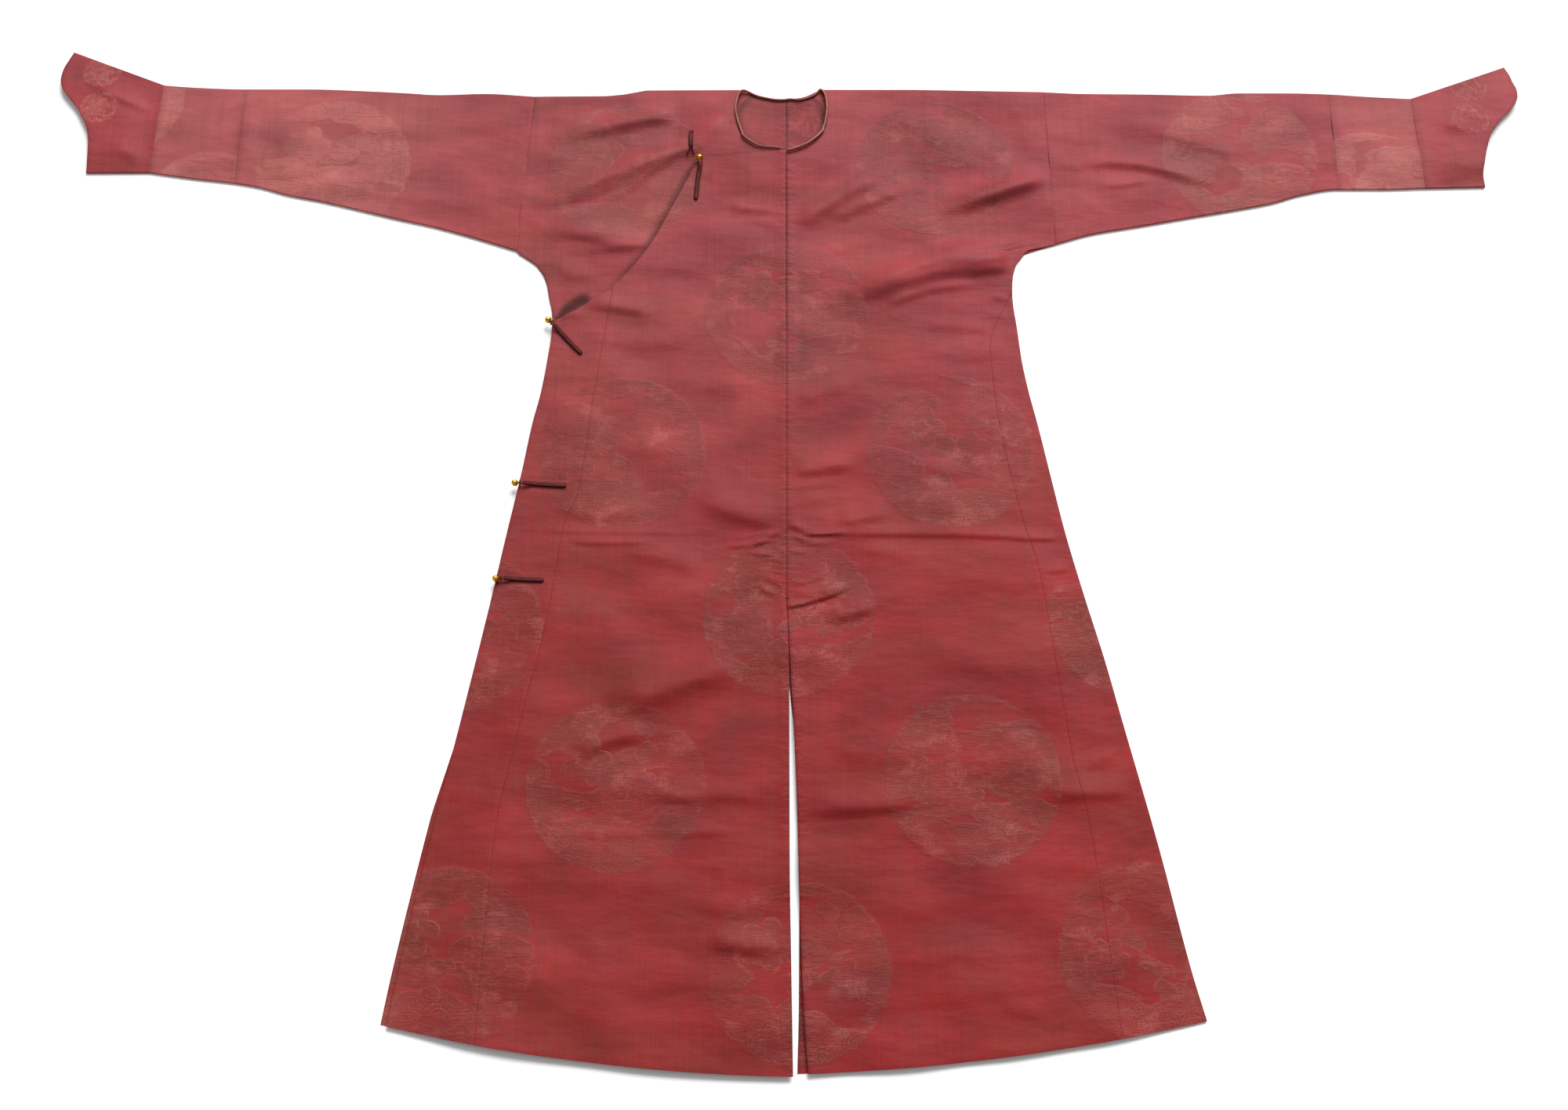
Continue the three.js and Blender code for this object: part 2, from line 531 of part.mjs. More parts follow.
// A sleeve section or a cuff is a flattened tube: spot(s, t) gives the point at s from its top to its
// bottom edge and t along it
function tubeGrid(stations, spot, easeAt, folds) {
  const edgeRadius = (CLOTH + EDGE_GAP) / 2;
  const grid = [];
  for (let i = 0; i <= stations; i += 1) {
    const t = i / stations;
    const top = spot(0, t);
    const bottom = spot(1, t);
    const along = bottom.clone().sub(top);
    const width = along.length();
    along.normalize();
    const margin = (edgeRadius + CLOTH / 2) / width;
    const ring = [];
    const flatPoint = (share) => spot(mix(margin, 1 - margin, share), t);
    for (let j = 0; j <= LOWER_STEPS; j += 1) {
      const at = flatPoint(j / LOWER_STEPS);
      ring.push({ p: new THREE.Vector3(at.x, at.y, CLOTH / 2), n: DOWN });
    }
    addTurn(ring, flatPoint(1), along, edgeRadius, 1);
    for (let j = UPPER_STEPS; j >= 0; j -= 1) {
      const share = j / UPPER_STEPS;
      const at = flatPoint(share);
      const closing = smooth(Math.min(share, 1 - share) * width / SLEEVE_TAPER);
      const gap = mix(EDGE_GAP, easeAt(t), closing) + foldHeight(folds, at.x, -at.y) * closing;
      ring.push({ p: new THREE.Vector3(at.x, at.y, CLOTH * 1.5 + gap), n: UP });
    }
    addTurn(ring, flatPoint(0), along, edgeRadius, -1);
    grid.push(ring);
  }
  return grid;
}

function addTurn(ring, centre, along, radius, side) {
  for (const turn of TURNS) {
    const angle = Math.PI * (side > 0 ? turn : 1 - turn);
    const n = along.clone().multiplyScalar(side * Math.sin(angle));
    n.z = -Math.cos(angle);
    const p = new THREE.Vector3(centre.x, centre.y, CLOTH / 2 + radius).addScaledVector(n, radius);
    ring.push({ p, n });
  }
}

const ARM_LEFT = { name: 'left', sign: 1, seamTop: 358, end: CUFF_END_LEFT };
const ARM_RIGHT = { name: 'right', sign: -1, seamTop: 350, end: CUFF_END_RIGHT };
const ARMS = [
  { ...ARM_LEFT, top: SLEEVE_TOP_LEFT, bottom: SLEEVE_BOTTOM_LEFT },
  { ...ARM_RIGHT, top: SLEEVE_TOP_RIGHT, bottom: SLEEVE_BOTTOM_RIGHT },
];
const CUFF_STATIONS = 6;
const MOUTH_START = 0.05;     // share of a cuff where it begins to open
const MOUTH_REACH = 0.45;
for (const arm of ARMS) {
  for (const seam of SLEEVE_SEAMS) {
    const spot = (s, t) => {
      const fromTop = seam.fromTop ?? arm.seamTop;
      const outTop = mix(fromTop + SEAM / 2, seam.toTop - SEAM / 2, t);
      const outBottom = mix(seam.fromBottom + SEAM / 2, seam.toBottom - SEAM / 2, t);
      const downTop = lookUp(arm.top, outTop, 'out', 'down');
      const downBottom = lookUp(arm.bottom, outBottom, 'out', 'down');
      return new THREE.Vector3(arm.sign * mix(outTop, outBottom, s), -mix(downTop, downBottom, s), 0);
    };
    add(`${seam.name}_${arm.name}`, wall(tubeGrid(
      seam.stations, spot, () => EASE, `sleeve_${arm.name}`), true), SILK);
  }
  const last = SLEEVE_SEAMS[1];
  const tip = arm.end[0].down;
  const corner = arm.end[arm.end.length - 1].down;
  const topDown = lookUp(arm.top, last.toTop, 'out', 'down');
  const bottomDown = lookUp(arm.bottom, last.toBottom, 'out', 'down');
  const cuffSpot = (s, t) => {
    const seamOut = mix(last.toTop, last.toBottom, s) + SEAM / 2;
    const endDown = mix(tip, corner, s);
    const endOut = lookUp(arm.end, endDown, 'down', 'out');
    const down = mix(mix(topDown, bottomDown, s), endDown, t);
    return new THREE.Vector3(arm.sign * mix(seamOut, endOut, t), -down, 0);
  };
  const mouth = (t) => mix(EASE, CUFF_EASE, smooth((t - MOUTH_START) / MOUTH_REACH));
  const cuffGrid = tubeGrid(CUFF_STATIONS, cuffSpot, mouth, `cuff_${arm.name}`);
  add(`cuff_${arm.name}`, wall(cuffGrid, true), SILK_PINK);
}

// A cord or strap: a section carried along a list of points
function cordWall(points, section) {
  const grid = points.map((point, i) => {
    const before = points[Math.max(0, i - 1)];
    const after = points[Math.min(points.length - 1, i + 1)];
    const tangent = after.clone().sub(before).normalize();
    const across = tangent.clone().cross(UP).normalize();
    const above = across.clone().cross(tangent).normalize();
    return section.map(([x, y]) => point.clone().addScaledVector(across, x).addScaledVector(above, y));
  });
  const sides = section.length;
  const positions = grid.flat().flatMap((point) => point.toArray());
  const triangles = [];
  for (let i = 0; i < grid.length - 1; i += 1) {
    for (let j = 0; j < sides; j += 1) {
      const next = (j + 1) % sides;
      const a = i * sides;
      triangles.push(a + j, a + next, a + sides + next, a + j, a + sides + next, a + sides + j);
    }
  }
  const end = (grid.length - 1) * sides;
  for (let j = 1; j < sides - 1; j += 1) {
    triangles.push(0, j + 1, j, end, end + j, end + j + 1);
  }
  return facingOut(positions, triangles);
}

function roundSection(radius, sides) {
  return Array.from({ length: sides }, (_, i) => {
    const angle = 2 * Math.PI * i / sides;
    return [radius * Math.cos(angle), radius * Math.sin(angle)];
  });
}

// Two cords side by side, with a waist between them
function strapSection() {
  const waistDepth = 0.35;
  const waistWidth = 0.3;
  return roundSection(1, 12).map(([x, y]) => {
    const waist = 1 - waistDepth * Math.exp(-((x / waistWidth) ** 2));
    return [STRAP_HALF_WIDTH * x, STRAP_HALF_HEIGHT * y * waist];
  });
}

const BINDING_INSET = 0.72;
const BACK_INSET = 0.4;
const BINDING_START = 1.4;    // its first end, beside the centre seam
const BINDING_POINTS = 46;
const BINDING_SIDES = 7;
const BINDING_BACK = [36, 26, 13, 0, -14, -28, -41, -49];   // distances out along the back neck

// Points where it turns over each shoulder
const FRONT_NECK_HEIGHT = 2 * CLOTH + EASE + 2.4;
const FOLD_NECK_HEIGHT = 2 * CLOTH + 2.2;
const BACK_NECK_HEIGHT = CLOTH + 3.4;
const BINDING_TURNS = [
  [
    { out: 53, down: 14, height: FRONT_NECK_HEIGHT },
    { out: 48.5, down: 5.5, height: FOLD_NECK_HEIGHT },
    { out: 43, down: 6.5, height: BACK_NECK_HEIGHT },
  ],
  [
    { out: -55.5, down: 5.5, height: BACK_NECK_HEIGHT },
    { out: -61.5, down: 5, height: FOLD_NECK_HEIGHT },
    { out: -66.5, down: 14, height: FRONT_NECK_HEIGHT },
  ],
];

// Neck binding: it lies on the neck edge, from the pit of the neck up the left side, round the back
// and down the right side
function neckBinding() {
  const lift = CLOTH + SEAM + CORD_RADIUS;
  const alongEdge = (half, rows, side) => rows.map((row) => place(
    row.out + side * BINDING_INSET, row.down + BINDING_INSET, frontHeight(half, row.out, row.down) + lift));
  const left = alongEdge(LEFT, NECK_LEFT.slice(2).reverse(), 1);
  const right = alongEdge(RIGHT, NECK_RIGHT.slice(2, 7), -1);
  left[0].x = BINDING_START;
  const back = BINDING_BACK.map((out) => {
    const down = lookUp(NECK_BACK.toReversed(), Math.abs(out - NECK_SHIFT / 2), 'half', 'down');
    return place(out, down + BACK_INSET, lift);
  });
  const [turnLeft, turnRight] = BINDING_TURNS.map((turn) => (
    turn.map((spot) => place(spot.out, spot.down, spot.height))));
  const route = new THREE.CatmullRomCurve3(left.concat(turnLeft, back, turnRight, right));
  return cordWall(route.getSpacedPoints(BINDING_POINTS), roundSection(CORD_RADIUS, BINDING_SIDES));
}
add('neck_binding', neckBinding(), BINDING);

const STRAP_STATIONS = [0, 0.04, 0.12, 0.2, 0.3, 0.5, 0.75, 1];

// A strap lies on the cloth and climbs to "start" at its first end
function strapOn(from, to, heightOf, start = null) {
  const onCloth = (out, down) => heightOf(out, down) + CLOTH + SEAM + STRAP_HALF_HEIGHT;
  const climb = start === null ? 0 : start - onCloth(...from);
  const points = STRAP_STATIONS.map((share) => {
    const out = mix(from[0], to[0], share);
    const down = mix(from[1], to[1], share);
    return place(out, down, onCloth(out, down) + climb * (1 - smooth(share / STRAP_RISE)));
  });
  return cordWall(points, strapSection());
}

// Where the strap meets the end of the shank
function shankEnd(button) {
  const [out, down] = button.ball;
  const reach = BALL_RADIUS + SHANK_LENGTH + 2 * SEAM;
  const distance = Math.hypot(button.aim[0] - out, button.aim[1] - down);
  return [mix(out, button.aim[0], reach / distance), mix(down, button.aim[1], reach / distance)];
}

const BALL_STEPS = 8;
const BALL_SIDES = 10;
const LOOP_SIDES = 5;

// Gilt ball with a shank towards its strap
function ballButton(button, height) {
  const profile = [];
  const neck = Math.asin(SHANK_RADIUS / BALL_RADIUS);
  for (let i = 0; i <= BALL_STEPS; i += 1) {
    const angle = mix(0, Math.PI - neck, i / BALL_STEPS);
    const across = i === 0 ? 0 : BALL_RADIUS * Math.sin(angle);
    profile.push(new THREE.Vector2(across, BALL_RADIUS * Math.cos(angle)));
  }
  const end = -BALL_RADIUS - SHANK_LENGTH;
  profile.push(new THREE.Vector2(SHANK_RADIUS, end));
  profile.push(new THREE.Vector2(0, end));
  const geometry = new THREE.LatheGeometry(profile.reverse(), BALL_SIDES);
  turnToStrap(geometry, button, height);
  return geometry;
}

// The loop of the back's strap, drawn round the shank
function shankLoop(button, height) {
  const radius = SHANK_RADIUS + SEAM + LOOP_CORD;
  const geometry = new THREE.TorusGeometry(radius, LOOP_CORD, LOOP_SIDES, BALL_SIDES);
  geometry.rotateX(Math.PI / 2);
  geometry.translate(0, -BALL_RADIUS - SHANK_LENGTH / 2, 0);
  turnToStrap(geometry, button, height);
  return geometry;
}

function turnToStrap(geometry, button, height) {
  const aim = place(...button.aim, 0).sub(place(...button.ball, 0)).normalize();
  const shank = new THREE.Vector3(0, -1, 0);
  geometry.applyQuaternion(new THREE.Quaternion().setFromUnitVectors(shank, aim));
  geometry.translate(button.ball[0], -button.ball[1], height + BALL_RADIUS);
}

const BALL_REST = [3, 2];     // a second spot under a ball that stands on the sloping flap edge
BUTTONS.forEach((button, i) => {
  const number = i + 1;
  const [out, down] = button.ball;
  const beside = flapHeight(out + BALL_REST[0], down + BALL_REST[1]);
  const under = Math.max(beside, flapHeight(out, down)) + CLOTH + SEAM;
  add(`button_${number}`, ballButton(button, under), GILT, 0.25, 1);
  const strap = strapOn(shankEnd(button), button.to, flapHeight, under + BALL_RADIUS);
  add(`button_strap_${number}`, strap, BRAID);
  if (number > 1) {
    add(`button_loop_${number}`, shankLoop(button, under), BRAID);
  }
});
add('loop_strap_1', strapOn(LOOP_STRAP.from, LOOP_STRAP.to, lapFront), BRAID);

// Set the coat down centred on the floor
const box = new THREE.Box3().setFromObject(parts);
const middle = box.getCenter(new THREE.Vector3());
parts.position.set(-middle.x, -middle.y, -box.min.z);

const surcoat = new THREE.Group();
surcoat.add(parts);
export default surcoat;
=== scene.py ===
import math
import bmesh
import bpy
import mathutils
import numpy as np
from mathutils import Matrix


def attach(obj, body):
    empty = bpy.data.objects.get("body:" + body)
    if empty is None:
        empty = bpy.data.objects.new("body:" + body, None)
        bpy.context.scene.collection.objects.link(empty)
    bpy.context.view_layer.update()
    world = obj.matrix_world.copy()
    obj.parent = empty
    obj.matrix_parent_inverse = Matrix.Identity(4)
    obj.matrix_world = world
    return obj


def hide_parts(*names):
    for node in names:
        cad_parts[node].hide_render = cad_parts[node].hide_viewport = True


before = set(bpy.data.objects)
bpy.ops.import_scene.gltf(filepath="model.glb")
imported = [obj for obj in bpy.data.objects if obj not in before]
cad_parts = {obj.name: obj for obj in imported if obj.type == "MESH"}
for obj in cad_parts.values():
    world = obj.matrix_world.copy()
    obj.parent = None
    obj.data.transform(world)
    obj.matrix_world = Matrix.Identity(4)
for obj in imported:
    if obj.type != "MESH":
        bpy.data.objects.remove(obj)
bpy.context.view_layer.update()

# The coat is drawn in garment millimetres: out from the centre seam (+ to the wearer's left), down from
# the shoulder line, height above the floor. toWorld puts them into the frame's metres.
centreShift = {"out": -2.233, "down": 676.578}


# Camera
viewpoint = {"tilt": 29.0, "distance": 3.363, "aim": (-0.00552, -0.06583, 0.0), "lens": 61.2}
slant = math.tan(math.radians(viewpoint["tilt"]))


def toWorld(out, down, height, seenAt=None):  # places were read along the camera's slant, at height seenAt
    seenAt = height if seenAt is None else seenAt
    out, down, height = np.broadcast_arrays(out, np.asarray(down) + slant * np.asarray(seenAt), height)
    spot = np.stack([out + centreShift["out"], centreShift["down"] - down, height], axis=-1)
    return spot / 1000.0


def addCamera():
    tilt = math.radians(viewpoint["tilt"])
    aimX, aimY, aimZ = viewpoint["aim"]
    data = bpy.data.cameras.new("camera")
    data.lens = viewpoint["lens"]
    data.sensor_width = 36.0
    data.clip_end = 50.0
    camera = bpy.data.objects.new("camera", data)
    camera.location = (
        aimX,
        aimY - viewpoint["distance"] * math.sin(tilt),
        aimZ + viewpoint["distance"] * math.cos(tilt),
    )
    camera.rotation_euler = (tilt, 0.0, 0.0)
    bpy.context.scene.collection.objects.link(camera)
    bpy.context.scene.camera = camera


addCamera()
print("camera placed")


# Sizes of the cloth, in millimetres
cloth = {
    "cadWall": 1.4,       # wall of the solids
    "thickness": 1.0,     # what is drawn
    "edgeShare": 0.55,    # of the thickness, at a panel's edges
    "lapGap": 0.9,        # air between the flap and the lap
    "seam": 0.3,          # air between the layers at a seam
    "ease": 2.2,          # the same where the coat lies relaxed
    "neckEase": 8.6,
    "hemEase": 3.2,
    "cuffEase": 6.2,
    "sideTaper": 95,      # how far from an edge the layers reach their ease
    "sleeveTaper": 50,
    "foldTaper": 22,
    "lapRise": 100,
    "seamRise": 80,
    "rippleTop": 60,
    "armRipple": 0.3,
    "step": 4.6,          # between points of the visible cloth
    "hiddenStep": 16.0,
    "lapStep": 24.0,
    "turnStep": 4.0,
    "sharpAngle": 50,
}
fineRows = {"from": 690, "to": 870, "step": 2.4}  # closer rows around the top of the vents
# Rough widths of the panels, which set how many points lie across them
panelWidths = {"length": 330.0, "flap": 260.0, "gore": 85.0, "upper": 245.0, "lower": 165.0, "cuff": 170.0}
edgeColumns = (0.0, 0.8, 2.2)  # how far the first points lie from an edge
seeds = {"body": 5, "upper": 20, "lower": 21, "cuff": 40}
neckLift = {"reach": 95, "middle": 50, "halfDepth": 40, "halfWidth": 60, "top": 40, "end": 320, "fade": 160}
hemLift = 150
armpitMargin = 12
armpitDown = 400
ventTop = 806
hemSag = 12
neckShift = -7
neckShiftFade = 6
shoulderDipReach = 70
goreSlant = 0.75

sideLeft = [
    (4, 358), (264, 363), (274, 325), (287, 315), (300, 307), (325, 302), (351, 301), (401, 305),
    (450, 309), (499, 316), (547, 325), (618, 337), (711, 353), (801, 372), (889, 392), (974, 409),
    (1139, 442), (1296, 470), (1355, 483)
]
sideRight = [
    (12, -350), (275, -363), (287, -349), (300, -334), (325, -321), (351, -316), (376, -311), (401, -310),
    (450, -314), (499, -320), (547, -329), (618, -339), (711, -354), (801, -368), (974, -397),
    (1139, -426), (1296, -451), (1361, -460)
]
backShows = [
    (0, 0), (1040, 0), (1140, 6), (1361, 7)
]
goreLeft = [
    (345, 299), (430, 268), (511, 272), (676, 296), (767, 317), (899, 332), (1016, 345), (1119, 362),
    (1376, 384)
]
goreRight = [
    (395, -308), (440, -272), (511, -270), (676, -290), (767, -306), (899, -320), (1016, -332),
    (1119, -346), (1376, -364)
]
goreFlap = [
    (335, -232), (425, -243), (505, -252), (651, -267), (704, -284), (793, -294), (872, -305), (945, -320),
    (987, -327), (1127, -349), (1381, -358)
]
neckLeft = [
    (0, 51), (14, 55), (28, 56), (48, 54), (69, 48), (89, 35), (103, 18), (107, 0.03)
]
neckRight = [
    (0, -64), (14, -69), (32, -71), (55, -67), (78, -57), (92, -38), (100, -19), (105, -8), (130, -14),
    (190, -30)
]
neckBack = [
    (2, 50), (8, 41), (12, 33), (15, 18), (17, 0.03)
]
ventLeftFront = [
    (806, 0.03), (899, 4.5), (1016, 10), (1119, 13), (1218, 15), (1353, 20), (1418, 24)
]
ventLeftBack = [
    (806, 0.03), (899, 1.5), (940, 4.5), (1016, 11.6), (1119, 15), (1334, 14), (1418, 12)
]
ventFlap = [
    (806, -0.03), (899, 3), (1159, 3.5), (1277, 5), (1420, 7)
]
ventRightBack = [
    (806, -0.03), (899, -2), (1420, 1)
]
flapEdge = [
    (107.6, -4), (111, -57), (121, -114), (136, -128), (155, -136), (206, -158), (264, -184), (305, -210),
    (340, -240), (363, -269), (386, -304)
]
shoulderLine = [
    (-350, 12), (-250, 11), (-225, 8), (-195, 1), (0, 0), (180, 0), (358, 4)
]
sleeveTopLeft = [
    (358, 4), (412, 7), (500, 8), (587, 10), (631, 6), (697, 6), (757, 8), (806, 12), (869, 16)
]
sleeveBottomLeft = [
    (363, 264), (412, 248), (476, 235), (539, 222), (603, 209), (661, 196), (699, 183), (751, 173),
    (810, 173), (868, 171)
]
sleeveTopRight = [
    (350, 12), (419, 7), (484, 9), (528, 6), (572, 3), (671, -1), (752, -1), (825, -4), (869, -8)
]
sleeveBottomRight = [
    (363, 275), (401, 261), (438, 248), (479, 235), (529, 222), (589, 205), (633, 193), (677, 183),
    (721, 169), (756, 162), (808, 155), (875, 144)
]
cuffEndLeft = [
    (-40, 1006), (-24, 1012), (-11, 1014), (1, 1017), (11, 1017), (22, 1014), (37, 1004), (47, 994),
    (61, 983), (78, 972), (100, 964), (123, 958), (149, 953), (169, 954)
]
cuffEndRight = [
    (-67, 1002), (-50, 1008), (-35, 1012), (-18, 1013), (-4, 1010), (8, 1003), (21, 993), (36, 982),
    (50, 975), (66, 967), (89, 962), (109, 960), (145, 959)
]

left = {"name": "left", "side": sideLeft, "gore": goreLeft, "length": 1418, "sideEnd": 1355, "armpit": 401}
right = {"name": "right", "side": sideRight, "gore": goreRight, "length": 1420, "sideEnd": 1361,
         "armpit": 401}
flap = dict(right, gore=goreFlap)


def ramp(share):
    share = np.clip(share, 0.0, 1.0)
    return share * share * (3.0 - 2.0 * share)


def mix(a, b, share):
    return a + (b - a) * share


def curve(rows, at):  # smooth curve through a table, without overshoot
    table = np.array(sorted(rows), dtype=float)
    x, y = table[:, 0], table[:, 1]
    steps = np.diff(x)
    slopes = np.diff(y) / steps
    tangents = np.zeros_like(y)
    product = slopes[:-1] * slopes[1:]
    total = np.where(product > 0, slopes[:-1] + slopes[1:], 1.0)
    tangents[1:-1] = np.where(product > 0, 2.0 * product / total, 0.0)
    tangents[0], tangents[-1] = slopes[0], slopes[-1]
    at = np.asarray(at, dtype=float)
    i = np.clip(np.searchsorted(x, at) - 1, 0, len(steps) - 1)
    s = np.clip((at - x[i]) / steps[i], 0.0, 1.0)
    h = steps[i]
    value = (2 * s**3 - 3 * s**2 + 1) * y[i] + (s**3 - 2 * s**2 + s) * h * tangents[i]
    return value + (3 * s**2 - 2 * s**3) * y[i + 1] + (s**3 - s**2) * h * tangents[i + 1]


def line(rows, at):
    table = np.array(sorted(rows), dtype=float)
    return np.interp(at, table[:, 0], table[:, 1])


def sideDown(half, down):
    share = (down - armpitDown) / (half["length"] - armpitDown)
    return np.where(down <= armpitDown, down, mix(armpitDown, half["sideEnd"], share))


def sideOut(half, down):
    return curve(half["side"], sideDown(half, down))


def rowPoint(half, down, out):
    end = sideDown(half, down)
    share = out / curve(half["side"], end)
    fan = np.maximum(0.0, (down - armpitDown) / (half["length"] - armpitDown))
    bow = hemSag * 4.0 * share * (1.0 - share) * fan * fan
    dip = line(shoulderLine, out) * np.maximum(0.0, 1.0 - down / shoulderDipReach)
    return mix(down, end, share) + bow + dip


def goreOut(half, down):
    at = mix(down, sideDown(half, down), goreSlant)
    return np.where(at < half["gore"][0][0], sideOut(half, down), curve(half["gore"], at))


